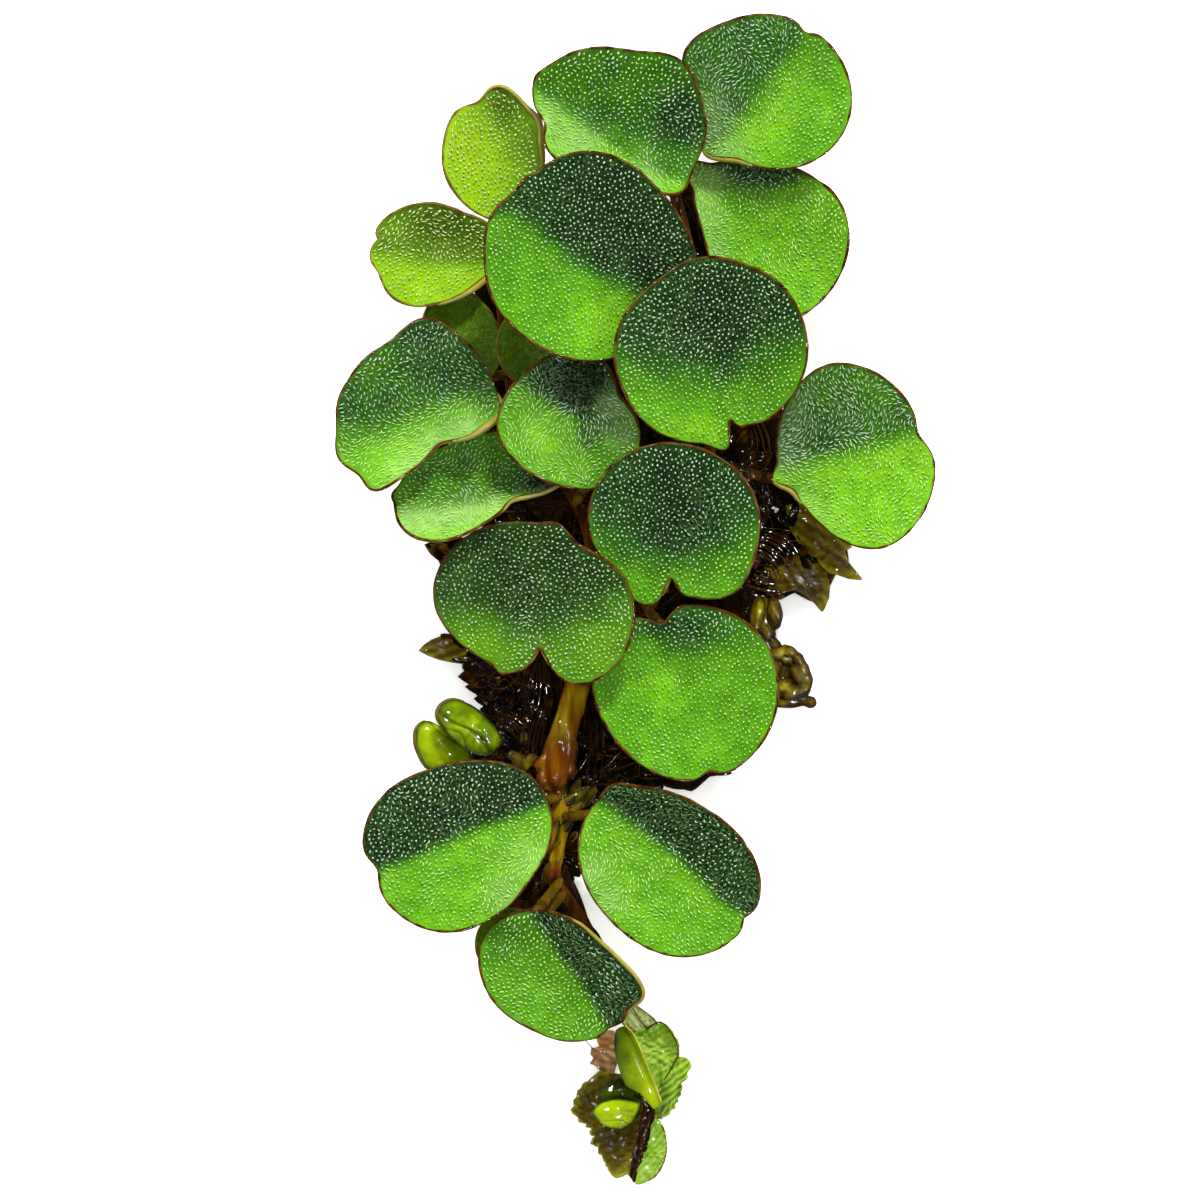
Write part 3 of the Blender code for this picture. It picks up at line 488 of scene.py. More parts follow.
        height=4.6, pitch=-0.1, fold=(0.15, 0.15), cup=0.2, foot=(-9.3, 16.2, 3.8),
        crease=((440, 320), (480, 345), (500, 385)), shades=(0.3, 0.36), lying=(0.2, 0.2),
        spots=((480, 310, 1.0, -0.2),), finish="young", bare=True),
    "leaf_rolled_left": dict(
        at=(-7.8, 18.2), heading=95, reach=(2.6, 2.1, 2.8, 2.0),
        height=6.1, pitch=0.1, fold=(0.5, 0.5), cup=0.3, foot=(-8.6, 15.2, 3.8),
        crease=((500, 300), (520, 350), (525, 390)), shades=(0.16, 0.26), lying=(0.3, 0.3),
        spots=((525, 365, 1.0, -0.1),), finish="young", bare=True),
    "leaf_hidden_bottom": dict(
        at=(-8.9, -24.4), heading=215, reach=(2.6, 2.5, 2.6, 2.4),
        height=4.4, pitch=0.0, fold=(0.2, 0.2), cup=0.2, foot=(-5.3, -21.2, 3.8),
        crease=((460, 930), (500, 930), (530, 920)), shades=(0.12, 0.2), lying=(0.2, 0.2),
        spots=(), finish="young", bare=True),
}
blade = dict(rings=20, spokes=168, thickness=0.40, edgeShare=0.4, hairLayer=0.30, bend=1.2, curlFrom=0.8,
             curlBand=0.2, inset=0.12, ripple=0.05)
hairs = dict(grid=0.1, apart=0.275, combed=0.44, rows=0.18, height=0.24, width=0.064, lyingWidth=0.037,
             lyingLength=0.32, upright=0.03, bareMargin=0.30, sink=0.04, sunlit=0.4, dull=0.22, shaded=0.03,
             arch=((0, 0), (0.75, 0.2), (1, 0.5), (0.85, 1)), taper=(1, 1, 1, 0.6))
rims = dict(points=300, width=0.108, below=0.10, uneven=0.4)
stalks = dict(share=0.86, below=0.3, halfway=0.55, level=0.75, sag=0.2, into=(0.45, -0.65),
              radii=(0.5, 0.42, 0.38, 0.36, 0.3, 0.16))
# green leaves' hairs: lit and shaded copies of one colour, for sunlit, between, lying in shade and deep shade
hairFinishes = dict(young=["youngHair"] * 4, green=["sunHair", "hair", "lyingShadedHair", "darkHair"])


def marginReach(leaf, angle):
    ahead, aside = turned(angle)
    tip, left, base, right = leaf["reach"]
    along = abs(ahead) / (tip if ahead > 0 else base)
    across = abs(aside) / (left if aside > 0 else right)
    oval = (along ** leaf["squareness"] + across ** leaf["squareness"]) ** (-1 / leaf["squareness"])
    return oval * (1 + bumpSum(leaf["swells"], angle)) - blade["inset"]


def curlOf(leaf, angle):  # how much the margin curls inwards there, and the slope and bend of its curve
    curl = bumpSum(leaf["curls"], angle)
    rise = 0.4 + 0.894 * math.sqrt(curl)
    return curl, rise, rise - 0.2 + curl


def bladePoint(leaf, angle, share):  # upper face under the hairs, in mm
    curl, rise, bend = curlOf(leaf, angle)
    over = max(0, share - blade["curlFrom"]) / (1 - blade["curlFrom"])  # 0 to 1 across the outer band
    flat = share if over == 0 else blade["curlFrom"] + rise * over - bend * over ** 2
    away = flat * marginReach(leaf, angle)
    ahead = away * math.cos(math.radians(angle))
    aside = away * math.sin(math.radians(angle))
    fold = leaf["fold"][0 if aside > 0 else 1] * (math.hypot(aside, blade["bend"]) - blade["bend"])
    place = Vector(leaf["at"]) + ahead * turned(leaf["heading"]) + aside * turned(leaf["heading"] + 90)
    height = leaf["height"] + leaf["pitch"] * ahead + leaf["roll"] * aside + fold + leaf["cup"] * flat ** 2
    height += 5 * curl * over ** 2 - blade["hairLayer"]
    height += blade["ripple"] * noiseAt(place, 0, 0.9) * min(1, 4 * (1 - share) + 0.3)
    return Vector((place.x, place.y, height))


def shadeAt(leaf, place):  # 0 in the dark halves, 1 in the brightest
    line = [spot(*point) for point in leaf["crease"]]
    nearest, side = 99.0, 1.0
    for start, end in zip(line, line[1:]):
        step = end - start
        t = clamp((place - start).dot(step) / step.length_squared)
        off = place - (start + step * t)
        if off.length < nearest:
            nearest = off.length
            side = -1.0 if step.x * off.y - step.y * off.x > 0 else 1.0
    light = smooth(-leaf["soft"], leaf["soft"], nearest * side)
    value = between(leaf["shades"], light)
    for px, py, radius, change in leaf["spots"]:
        value += change * math.exp(-((place - spot(px, py)).length / radius) ** 2)
    value += 0.10 * noiseAt(place, 3, 0.7)
    return clamp(value), light


def fuzzAt(leaf, place):  # places where the hairs are long and so dense that they hide the green
    return sum(math.exp(-((place - spot(px, py)).length / radius) ** 2) for px, py, radius in leaf["fuzz"])


def lyingAt(leaf, place, light):  # 0 where the hairs stand upright, 1 where they lie down in a fuzz
    value = leaf["lying"][0] * (1 - light) + leaf["lying"][1] * light
    return clamp(value + (0.9 * fuzzAt(leaf, place) + 0.35 * noiseAt(place, 9, 0.6)))


def makeBlade(name, leaf):
    rings = [(number / blade["rings"]) ** 0.85 for number in range(blade["rings"] + 1)]
    bm = roundSheet(rings, blade["spokes"])
    shade, edge, lying, bloom = (bm.verts.layers.float.new(layer) for layer in ("shade", "edge", "lying", "bloom"))
    weight = bm.verts.layers.deform.verify()
    for vert in bm.verts:
        share = vert.co.length
        vert[weight][0] = smooth(1.0, 0.86, share)
        vert.co = bladePoint(leaf, angleOf(vert.co), share)
        vert[shade], light = shadeAt(leaf, vert.co.xy)
        vert[lying] = lyingAt(leaf, vert.co.xy, light) * smooth(0.99, 0.93, share)
        vert[edge] = 0.75 * smooth(0.95, 1.0, share)
        vert[bloom] = min(0.6, leaf["bloom"] * fuzzAt(leaf, vert.co.xy)) * smooth(1.0, 0.97, share)
    piece = objectFrom(name + "_blade", bm, [finishes[leaf["finish"]], finishes["under"]])
    wall = thicken(piece, blade["thickness"], 1)
    wall.vertex_group = piece.vertex_groups.new(name="body").name  # the blade thins out towards its margin
    wall.thickness_vertex_group = blade["edgeShare"]
    return piece


def sheetShare(leaf, angle, flat):  # the curled outer band is stretched, so its share is found back
    _, rise, bend = curlOf(leaf, angle)
    start = blade["curlFrom"]
    if flat <= start:
        return flat
    return start + blade["curlBand"] * (rise - math.sqrt(max(0, rise ** 2 - 4 * bend * (flat - start)))) / (2 * bend)


def flowAt(leaf, place):  # the way that lying hairs point, in degrees: away from the stalk, in slow swirls
    away = place - Vector(leaf["at"]) - turned(leaf["heading"] + leaf["stalk"]) * leaf["reach"][2]
    return angleOf(away) + 170 * noiseAt(place, 5, 0.28)


def hairFeet(leaf):  # (place from the leaf's middle, how far the hair lies down), in combed rows where they lie
    cells = {}
    feet = []
    count = int(max(leaf["reach"]) * 1.5 / hairs["grid"])
    tries = [(column, row) for column in range(-count, count + 1) for row in range(-count, count + 1)]
    dice.shuffle(tries)
    for column, row in tries:
        place = Vector((column + dice.random(), row + dice.random())) * hairs["grid"]
        home = (int(place.x // hairs["combed"]), int(place.y // hairs["combed"]))
        near = [(home[0] + x, home[1] + y) for x in (-1, 0, 1) for y in (-1, 0, 1)]
        steps = [foot - place for cell in near for foot in cells.get(cell, ())]
        if any(step.length_squared < hairs["rows"] ** 2 for step in steps):
            continue
        angle = angleOf(place)
        margin = marginReach(leaf, angle)
        curled = 2 * bumpSum(leaf["curls"], angle) * margin
        if place.length > margin - hairs["bareMargin"] * (0.6 + 0.6 * dice.random()) - curled:
            continue
        spread = place.x * turned(leaf["heading"]) + place.y * turned(leaf["heading"] + 90) + Vector(leaf["at"])
        down = lyingAt(leaf, spread, shadeAt(leaf, spread)[1])
        way = turned(flowAt(leaf, spread) - leaf["heading"])
        along = between((hairs["apart"], hairs["combed"]), down)
        across = between((hairs["apart"], hairs["rows"]), down)
        if all((step.dot(way) / along) ** 2 + (step.cross(way) / across) ** 2 > 1 for step in steps):
            cells.setdefault(home, []).append(place)
            feet.append((place, down))
    return feet


def hairStrand(leaf, place, down):
    lean, tilt, size = dice.random(), dice.random(), dice.random()
    angle = angleOf(place)
    share = sheetShare(leaf, angle, place.length / marginReach(leaf, angle))
    foot = bladePoint(leaf, angle, share)
    outward = bladePoint(leaf, angle, share + 0.02) - foot
    sideways = bladePoint(leaf, angle + 2, share) - foot
    normal = outward.cross(sideways).normalized()
    shade = shadeAt(leaf, foot.xy)[0]
    down = smooth(0.1, 0.75, down + 0.5 * (tilt - 0.5))
    along = Vector((*turned(flowAt(leaf, foot.xy) + 50 * (lean - 0.5)), 0))
    along = (along - normal * along.dot(normal)).normalized()
    across = normal.cross(along)
    length = hairs["upright"] + hairs["lyingLength"] * (0.65 + 0.6 * size) * down
    height = hairs["height"] * (0.8 + 0.3 * size - 0.4 * down)
    width = hairs["width"] * (0.62 + 0.5 * size) * (1 - down) + hairs["lyingWidth"] * down
    bow = (lean - 0.5) * 2.0 * length
    points = [foot + normal * (height * lift - hairs["sink"]) + along * (length * (run - 0.5))
              + across * bow * run * (1 - run) for lift, run in hairs["arch"]]
    # a lit or shaded copy of the hair colour, picked by the painted shade of the blade under the hair
    sunlit = shade > hairs["sunlit"] + 0.2 * size
    number = 0 if sunlit else 3 if shade < hairs["shaded"] else 2 if down > 0.6 and shade < hairs["dull"] else 1
    return points, [width * part for part in hairs["taper"]], number, False


def rimStrand(leaf):
    points = []
    radii = []
    for number in range(rims["points"]):
        point = bladePoint(leaf, 360 * number / rims["points"], 1.0)
        points.append(point + Vector((0, 0, -rims["below"])))
        radii.append(rims["width"] * (1 + rims["uneven"] * noise.noise(point * 1.3)))
    return points, radii, 0, True


def stalkStrand(leaf):
    root = bladePoint(leaf, leaf["stalk"], stalks["share"]) + Vector((0, 0, -stalks["below"]))
    foot = Vector(leaf["foot"])
    middle = root.lerp(foot, stalks["halfway"])
    middle.z = root.z + (foot.z - root.z) * stalks["level"]
    bent = root.lerp(middle, 0.5) + Vector((0, 0, -stalks["sag"]))
    onward, down = stalks["into"]
    into = Vector((*(foot - root).xy.normalized() * onward, down))
    return [root, bent, middle, foot, foot + into * 0.5, foot + into], stalks["radii"], 1, False


for name, plan in leafPlans.items():
    leaf = leafUsual | plan
    young = leaf["finish"] == "young"
    slotName = "leaf_shaded" if leaf["bare"] else "leaf_young" if young else "leaf_green"
    attach(makeBlade(name, leaf), name, slotName)
    margin = strandObject(name + "_margin", [rimStrand(leaf), stalkStrand(leaf)],
                          [finishes["youngRim" if young else "rim"], finishes["stalk"]], 1)
    attach(margin, name, slotName)
    if not leaf["bare"]:
        kinds = hairFinishes["young" if young else "green"]
        coat = strandObject(name + "_hairs", [hairStrand(leaf, *foot) for foot in hairFeet(leaf)],
                            [finishes[kind] for kind in kinds])
        attach(coat, name, slotName)
print("leaves done", len(leafPlans))


def paintShade(piece, shadeOf):  # a float for each point, from its place in millimetres and how far it faces up
    mesh = piece.data
    layer = mesh.attributes.new("shade", "FLOAT", "POINT")
    layer.data.foreach_set("value", [clamp(shadeOf(point.co / mm, point.normal.z)) for point in mesh.vertices])


def mottle(place, scale, seed):
    return noise.noise(Vector((place.x, place.y, place.z)) * scale + Vector((0, 0, seed)))


def rayReach(corners, middle, angle):  # how far an outline reaches from a point inside it
    way = turned(angle)
    reach = 0.0
    for start, end in zip(corners, corners[1:] + corners[:1]):
        edge = end - start
        off = start - middle
        slant = way.x * edge.y - way.y * edge.x
        if abs(slant) > 1e-9:
            away = (off.x * edge.y - off.y * edge.x) / slant
            along = (off.x * way.y - off.y * way.x) / slant
            if -1e-6 <= along <= 1 + 1e-6:
                reach = max(reach, away)
    return reach


def outlineOf(points):  # an outline in the picture, as its corners in millimetres and their middle
    corners = [spot(*point) for point in points]
    return corners, sum(corners, Vector((0, 0))) / len(corners)


def outlineSheet(outline, rings, spokes, surface, toneOf, grow=0.0):  # surface: place, share and angle to height
    corners, middle = outlineOf(outline)
    bm = roundSheet([number / rings for number in range(rings + 1)], spokes)
    shade = bm.verts.layers.float.new("shade")
    for vert in bm.verts:
        share = vert.co.length
        angle = angleOf(vert.co)
        place = middle + turned(angle) * share * (rayReach(corners, middle, angle) + grow)
        vert.co = (place.x, place.y, surface(place, share, angle))
        vert[shade] = clamp(toneOf(vert.co, share))
    return bm


def addLobe(bm, base, tip, width, heights, bend=0.0, tone=0.4, hem=0.7):  # a pointed, grooved lobe of a frond
    shade = bm.verts.layers.float.get("shade")
    made = bmesh.ops.create_grid(bm, x_segments=12, y_segments=8, size=1)["verts"]
    step = tip - base
    side = Vector((-step.y, step.x)).normalized()
    for vert in made:
        along, across = (vert.co.x + 1) / 2, vert.co.y
        broad = (1 - along) * (0.45 + 2.2 * along) * 1.2
        place = base + step * along + side * (across * width / 2 * broad + bend * 4 * along * (1 - along))
        height = between(heights, along ** 1.5)
        grooves = 0.05 * math.cos(math.pi * across * 4) * broad
        vert.co = (place.x, place.y, height + 0.11 * width * broad * (1 - across ** 2) + grooves)
        # the hem lightens the margins (darkens them where it is negative), the tip is lighter, and the groove crests
        # are painted lighter than their troughs, a painted shade along the relief
        light = hem * max(0, tone - 0.35) * abs(across) ** 4 + 2.2 * grooves + 0.15 * along
        vert[shade] = clamp(tone + light + 0.4 * mottle(vert.co, 1.6, 5))
    bmesh.ops.remove_doubles(bm, verts=made, dist=0.004)


# The wet fronds: outline, height of the crown, lobes as (root, tip, width, heights, bend, tone), fans of ribs as
# (first root, last root, first tip, last tip, bow, number, heights), how many stray fibres and small lobes, and tone
# Lobes with a low tone that reach in under the leaves fill the gaps between them with dark mass: partly the dark
# fronds, partly a painted shade under the leaves.
frondUsual = dict(lobes=(), fans=())
frondPlans = {
    "frond_right": dict(
        outline=((742, 405), (772, 405), (802, 470), (838, 520), (845, 546), (848, 562), (836, 570), (826, 590),
            (818, 602), (806, 597), (794, 590), (782, 597), (764, 598), (737, 597), (712, 556), (702, 508),
            (714, 472), (728, 452)), crown=2.4,
        lobes=(((770, 560), (796, 590), 22, (1.5, 0.8), 0.0, 0.6),
            ((745, 590), (786, 597), 16, (1.2, 0.8), 0.1, 0.6), ((722, 440), (765, 420), 26, (1.6, 1.5), 0.4),
            ((752, 470), (746, 440), 20, (1.6, 1.7), 0.0), ((740, 520), (776, 505), 18, (1.5, 1.7), 0.3),
            ((758, 530), (774, 500), 12, (1.8, 1.9), 0.2), ((764, 440), (782, 402), 18, (1.5, 1.4), 0.0, 0.3),
            ((728, 580), (750, 628), 34, (1.2, 0.8), 0.0, 0.2),
            ((748, 585), (764, 622), 26, (1.2, 0.9), 0.0, 0.25),
            ((738, 452), (764, 424), 26, (1.7, 1.8), 0.2, 0.5),
            ((740, 474), (774, 452), 24, (1.8, 1.7), 0.1, 0.48)),
        fans=(((766, 531), (758, 549), (803, 560), (779, 580), 0.5, 7, (2.3, 1.8)),
            ((758, 565), (750, 585), (792, 560), (786, 590), -0.2, 5, (1.8, 1.5)),
            ((744, 420), (752, 410), (752, 450), (770, 455), 0.3, 4, (1.9, 1.9))), stray=34, shade=0.28),
    "frond_center": dict(
        outline=((645, 575), (700, 566), (728, 592), (728, 622), (704, 645), (660, 645), (634, 628), (625, 600)),
        crown=2.2,
        stray=8, shade=0.1),
    "frond_middle": dict(
        outline=((588, 470), (602, 500), (600, 540), (575, 560), (540, 552), (508, 548), (486, 532), (478, 505),
            (500, 478), (540, 468)), crown=2.3,
        lobes=(((560, 540), (598, 510), 26, (1.3, 1.6), 0.3), ((540, 530), (512, 510), 20, (1.4, 1.4), 0.0),
            ((570, 545), (560, 505), 18, (1.5, 1.8), 0.2), ((508, 478), (492, 416), 28, (1.2, 1.2), 0.0, 0.15)),
        fans=(((520, 505), (532, 500), (590, 520), (596, 500), 0.4, 6, (1.9, 1.9)),
            ((560, 500), (570, 498), (540, 535), (556, 540), -0.3, 5, (1.9, 1.7))), stray=26, shade=0.34),
    "frond_center_high": dict(
        outline=((632, 420), (652, 395), (700, 385), (730, 400), (731, 432), (718, 446), (702, 462), (660, 466),
            (636, 448)), crown=2.2,
        lobes=(((700, 440), (740, 432), 18, (1.2, 1.4), 0.2), ((698, 452), (742, 460), 22, (1.2, 1.1), 0.0, 0.2),
            ((636, 440), (622, 330), 50, (1.4, 1.2), 0.0, 0.15),
            ((628, 392), (606, 344), 34, (1.3, 1.2), 0.0, 0.1)),
        stray=14, shade=0.2),
    "frond_left_low": dict(
        outline=((452, 645), (475, 634), (520, 632), (556, 652), (565, 688), (550, 711), (512, 706), (488, 703),
            (474, 690), (468, 676), (462, 660)), crown=2.3,
        lobes=(((460, 652), (440, 634), 18, (1.3, 1.2), 0.0, 0.42),
            ((496, 682), (462, 658), 26, (1.3, 0.9), 0.0, 0.36),
            ((500, 672), (457, 677), 26, (1.4, 0.6), 0.1, 0.42),
            ((504, 690), (464, 687), 18, (1.3, 0.7), 0.0, 0.4),
            ((505, 702), (473, 699), 16, (1.0, 0.6), 0.0, 0.36),
            ((500, 722), (488, 695), 20, (1.5, 1.2), 0.1, 0.3),
            ((535, 728), (528, 698), 24, (1.5, 1.3), 0.1, 0.35), ((539, 654), (549, 720), 9, (2.2, 1.6), 0.2),
            ((537, 656), (524, 712), 12, (2.1, 1.5), -0.2), ((534, 660), (510, 700), 16, (1.9, 1.4), -0.2),
            ((541, 656), (560, 700), 10, (2.1, 1.6), 0.3), ((515, 690), (500, 712), 16, (1.5, 1.2), 0.0)),
        fans=(((536, 658), (541, 658), (515, 706), (552, 712), 0.2, 6, (2.2, 1.7)),), stray=26, shade=0.3),
    "frond_left_tip": dict(
        outline=((425, 546), (450, 536), (485, 548), (498, 575), (478, 598), (452, 582), (440, 560)), crown=1.9,
        lobes=(((454, 556), (424.5, 546), 18, (1.1, 0.6), 0.0, 0.7),),
        stray=8, shade=0.3),
    "frond_low_left": dict(
        outline=((476, 718), (512, 711), (545, 717), (557, 740), (554, 775), (542, 796), (510, 792), (484, 786),
            (474, 764), (474, 738)), crown=2.4,
        lobes=(((520, 755), (548, 708), 34, (1.6, 1.6), 0.2, 0.45),
            ((546, 750), (560, 680), 34, (1.5, 1.4), 0.0, 0.2), ((530, 768), (552, 735), 20, (1.5, 1.9), 0.1),
            ((500, 740), (506, 702), 26, (1.6, 1.4), 0.1, 0.2), ((485, 735), (483, 706), 16, (1.4, 1.2), 0.1, 0.2),
            ((500, 722), (524, 738), 14, (1.7, 1.6), 0.3), ((508, 742), (490, 722), 18, (1.5, 1.4), 0.0)),
        fans=(((488, 716), (496, 712), (520, 742), (528, 730), 0.25, 4, (2.0, 1.9)),
            ((536, 720), (546, 722), (530, 765), (545, 770), -0.3, 4, (2.1, 1.8))), stray=24, shade=0.24),
    "frond_low_right": dict(
        outline=((572, 694), (605, 684), (645, 698), (692, 728), (732, 764), (735, 773), (708, 776), (691, 791),
            (664, 784), (636, 790), (600, 797), (567, 797), (562, 768), (563, 730)), crown=2.4,
        lobes=(((655, 775), (690.5, 789), 14, (1.0, 0.6), 0.0), ((690, 765), (733, 774), 12, (1.0, 0.6), 0.0),
            ((594, 722), (590, 668), 44, (1.8, 1.5), 0.0, 0.1), ((580, 716), (574, 676), 26, (1.7, 1.4), 0.0, 0.1),
            ((590, 700), (583, 750), 10, (2.1, 1.9), 0.2), ((600, 715), (596, 770), 9, (2.0, 1.8), -0.2),
            ((612, 745), (600, 785), 12, (1.8, 1.6), 0.2), ((640, 768), (602, 778), 14, (1.7, 1.5), 0.3)),
        fans=(((588, 704), (596, 700), (584, 785), (600, 780), 0.3, 3, (2.2, 1.9)),
            ((640, 760), (646, 772), (590, 770), (592, 785), 0.3, 2, (2.0, 1.8))), stray=56, shade=0.2),
    "frond_stem": dict(
        outline=((541, 786), (604, 790), (599, 816), (588, 836), (579, 850), (569, 864), (562, 879), (567, 889),
            (574, 901), (582, 914), (584, 922), (556, 915), (528, 910), (506, 908), (514, 893), (524, 880),
            (530, 850), (534, 820)), crown=2.3,
        lobes=(((560, 826), (561, 878), 26, (1.6, 0.9), 0.2), ((560, 868), (590, 930), 15, (1.5, 0.5), -0.12, 0.5),
            ((556, 868), (579, 912), 12, (1.9, 0.9), -0.05, 0.55), ((552, 872), (568, 912), 14, (1.9, 1.2), 0.0),
            ((552, 878), (510, 906), 22, (1.6, 0.7), -0.2), ((550, 885), (524, 912), 16, (1.7, 0.9), -0.1),
            ((560, 840), (577, 868), 16, (1.6, 1.0), 0.2), ((566, 848), (582, 876), 17, (1.6, 1.0), 0.0, 0.35)),
        fans=(((558, 862), (562, 860), (572, 908), (582, 914), -0.05, 4, (2.0, 1.3)),
            ((556, 872), (552, 870), (520, 905), (535, 910), -0.15, 4, (1.9, 1.2))), stray=12, shade=0.36),
    "frond_top": dict(
        outline=((690, 178), (716, 192), (740, 230), (735, 272), (702, 290), (672, 262), (670, 215)), crown=2.2,
        fans=(((684, 196), (690, 194), (700, 240), (708, 236), 0.2, 4, (1.9, 1.9)),), stray=6, shade=0.08),
    "frond_top_left": dict(
        outline=((490, 306), (506, 280), (530, 290), (545, 330), (540, 370), (520, 402), (500, 385), (492, 352)),
        crown=2.2,
        lobes=(((516, 352), (503, 408), 40, (1.6, 1.3), 0.0, 0.1),
            ((512, 380), (490, 368), 30, (1.5, 1.2), 0.0, 0.1), ((506, 324), (481, 288), 30, (1.3, 1.1), 0.0, 0.1),
            ((506, 304), (472, 282), 30, (1.3, 1.1), 0.0, 0.1)),
        stray=8, shade=0.12),
}
tuft = dict(grow=0.2, spokes=80, rings=16, floor=0.62, lobe=0.16, rib=0.125, fibre=0.028, fibres=0.4, stagger=0.06,
            lobes=1.5)


def frondBed(name, plan):
    crown = plan["crown"] - 0.25

    def surface(place, share, angle):
        rise = (1 - share ** 2) ** 0.6
        level = Vector((place.x, place.y, 0))
        fold = 0.5 + 0.5 * mottle(level, 0.8, 4)
        crease = 0.35 * abs(mottle(level, 1.7, 8))
        return tuft["floor"] + (crown - tuft["floor"]) * rise * fold + crease - 0.1

    def toneOf(point, share):
        return plan["shade"] + 0.9 * mottle(point, 0.7, 2) + 0.35 * mottle(point, 2.2, 6)

    bm = outlineSheet(plan["outline"], tuft["rings"], tuft["spokes"], surface, toneOf, tuft["grow"])
    for base, tip, width, heights, *looks in plan["lobes"]:
        addLobe(bm, spot(*base), spot(*tip), width / view["pixelsPerMm"], heights, *looks)
    corners, middle = outlineOf(plan["outline"])
    for _ in range(int(plan["stray"] * tuft["lobes"])):  # small dark lobes that lie over each other
        around = 360 * dice.random()
        share = 0.15 + 0.55 * dice.random()
        root = middle + turned(around) * rayReach(corners, middle, around) * share
        way = turned(around + dice.uniform(-70, 70))
        level = tuft["floor"] + (crown - tuft["floor"]) * (1 - share ** 2) ** 0.6 * dice.uniform(0.75, 1.05)
        addLobe(bm, root, root + way * dice.uniform(0.7, 1.9), dice.uniform(0.22, 0.6), (level - 0.15, level + 0.1),
                dice.uniform(-0.15, 0.15), plan["shade"] + 0.5 * dice.random() ** 2 - 0.2)
    piece = objectFrom(name + "_tuft", bm, [finishes["mass"]])
    thicken(piece, tuft["lobe"])
    return piece


def threadBetween(start, end, bow, heights, radius, number):
    step = end - start
    side = Vector((-step.y, step.x)).normalized()
    points = []
    for knot in range(9):
        along = knot / 8
        place = start + step * along + side * bow * 4 * along * (1 - along)
        points.append(Vector((place.x, place.y, between(heights, along) + 0.1 * math.sin(5 * along))))
    radii = [radius * (0.5 + 0.6 * math.sin(math.pi * knot / 8)) for knot in range(9)]
    return points, radii, number, False


def frondThreads(name, plan):
    strands = []
    for firstRoot, lastRoot, firstTip, lastTip, bow, count, heights in plan["fans"]:
        for number in range(count):
            along = number / max(1, count - 1)
            start = spot(*firstRoot).lerp(spot(*lastRoot), along) + turned(360 * dice.random()) * tuft["stagger"]
            end = spot(*firstTip).lerp(spot(*lastTip), along) + turned(360 * dice.random()) * tuft["stagger"]
            strands.append(threadBetween(start, end, bow * (0.8 + 0.4 * dice.random()), heights, tuft["rib"], 0))
    corners, middle = outlineOf(plan["outline"])
    for _ in range(int(plan["stray"] * tuft["fibres"])):
        first, second = 360 * dice.random(), 360 * dice.random()
        start = middle + turned(first) * rayReach(corners, middle, first) * 0.75 * dice.random()
        end = middle + turned(second) * rayReach(corners, middle, second) * (0.4 + 0.5 * dice.random())
        top = plan["crown"] - 0.15
        heights = (top - 0.1 * dice.random(), top - 0.5 * dice.random())
        strands.append(threadBetween(start, end, dice.uniform(-0.8, 0.8), heights, tuft["fibre"], 1))
    return strandObject(name + "_threads", strands, [finishes["thread"], finishes["fibre"]], 1)


for name, plan in frondPlans.items():
    plan = frondUsual | plan
    attach(frondBed(name, plan), name, "frond_brown")
    attach(frondThreads(name, plan), name, "frond_brown")
print("fronds done", len(frondPlans))


def addLump(bm, px, py, height, halves, heading, lumpiness, seed):  # a swollen, slightly uneven bead
    made = bmesh.ops.create_uvsphere(bm, u_segments=20, v_segments=12, radius=1)["verts"]
    way, side = turned(heading), turned(heading + 90)
    middle = spot(px, py)
    for vert in made:
        co = vert.co * (1 + lumpiness * noise.noise(vert.co * 1.8 + Vector((seed, 0, 0))))
        place = middle + way * co.x * halves[0] + side * co.y * halves[1]
        vert.co = (place.x, place.y, height + co.z * halves[2])


def fuse(bm, voxel):  # lumps in millimetres run into one skin
    lumps = inScene("lumps", bpy.data.meshes.new("lumps"))
    bm.to_mesh(lumps.data)
    lumps.modifiers.new("fuse", "REMESH").voxel_size = voxel
    bm.clear()
    bm.from_object(lumps, bpy.context.evaluated_depsgraph_get())
    bpy.data.objects.remove(lumps)
    for _ in range(2):
        bmesh.ops.smooth_vert(bm, verts=bm.verts, factor=0.5, use_axis_x=True, use_axis_y=True, use_axis_z=True)


def addBeads(bm, beads, seed, step, voxel):
    for number, bead in enumerate(beads):
        addLump(bm, *bead, 0.15, seed + number * step)
    if beads:
        fuse(bm, voxel)


# painted shade: lighter where the skin faces up and stands higher, darker on its sides and low in the hollows; the
# rest is mottled
def knobTone(point, up):
    return (0.5 * max(0, up) ** 2 - 0.05 + 0.4 * (point.z - 1.4) + 0.4 * mottle(point, 0.9, 3)
            + 0.25 * mottle(point, 2.4, 7))


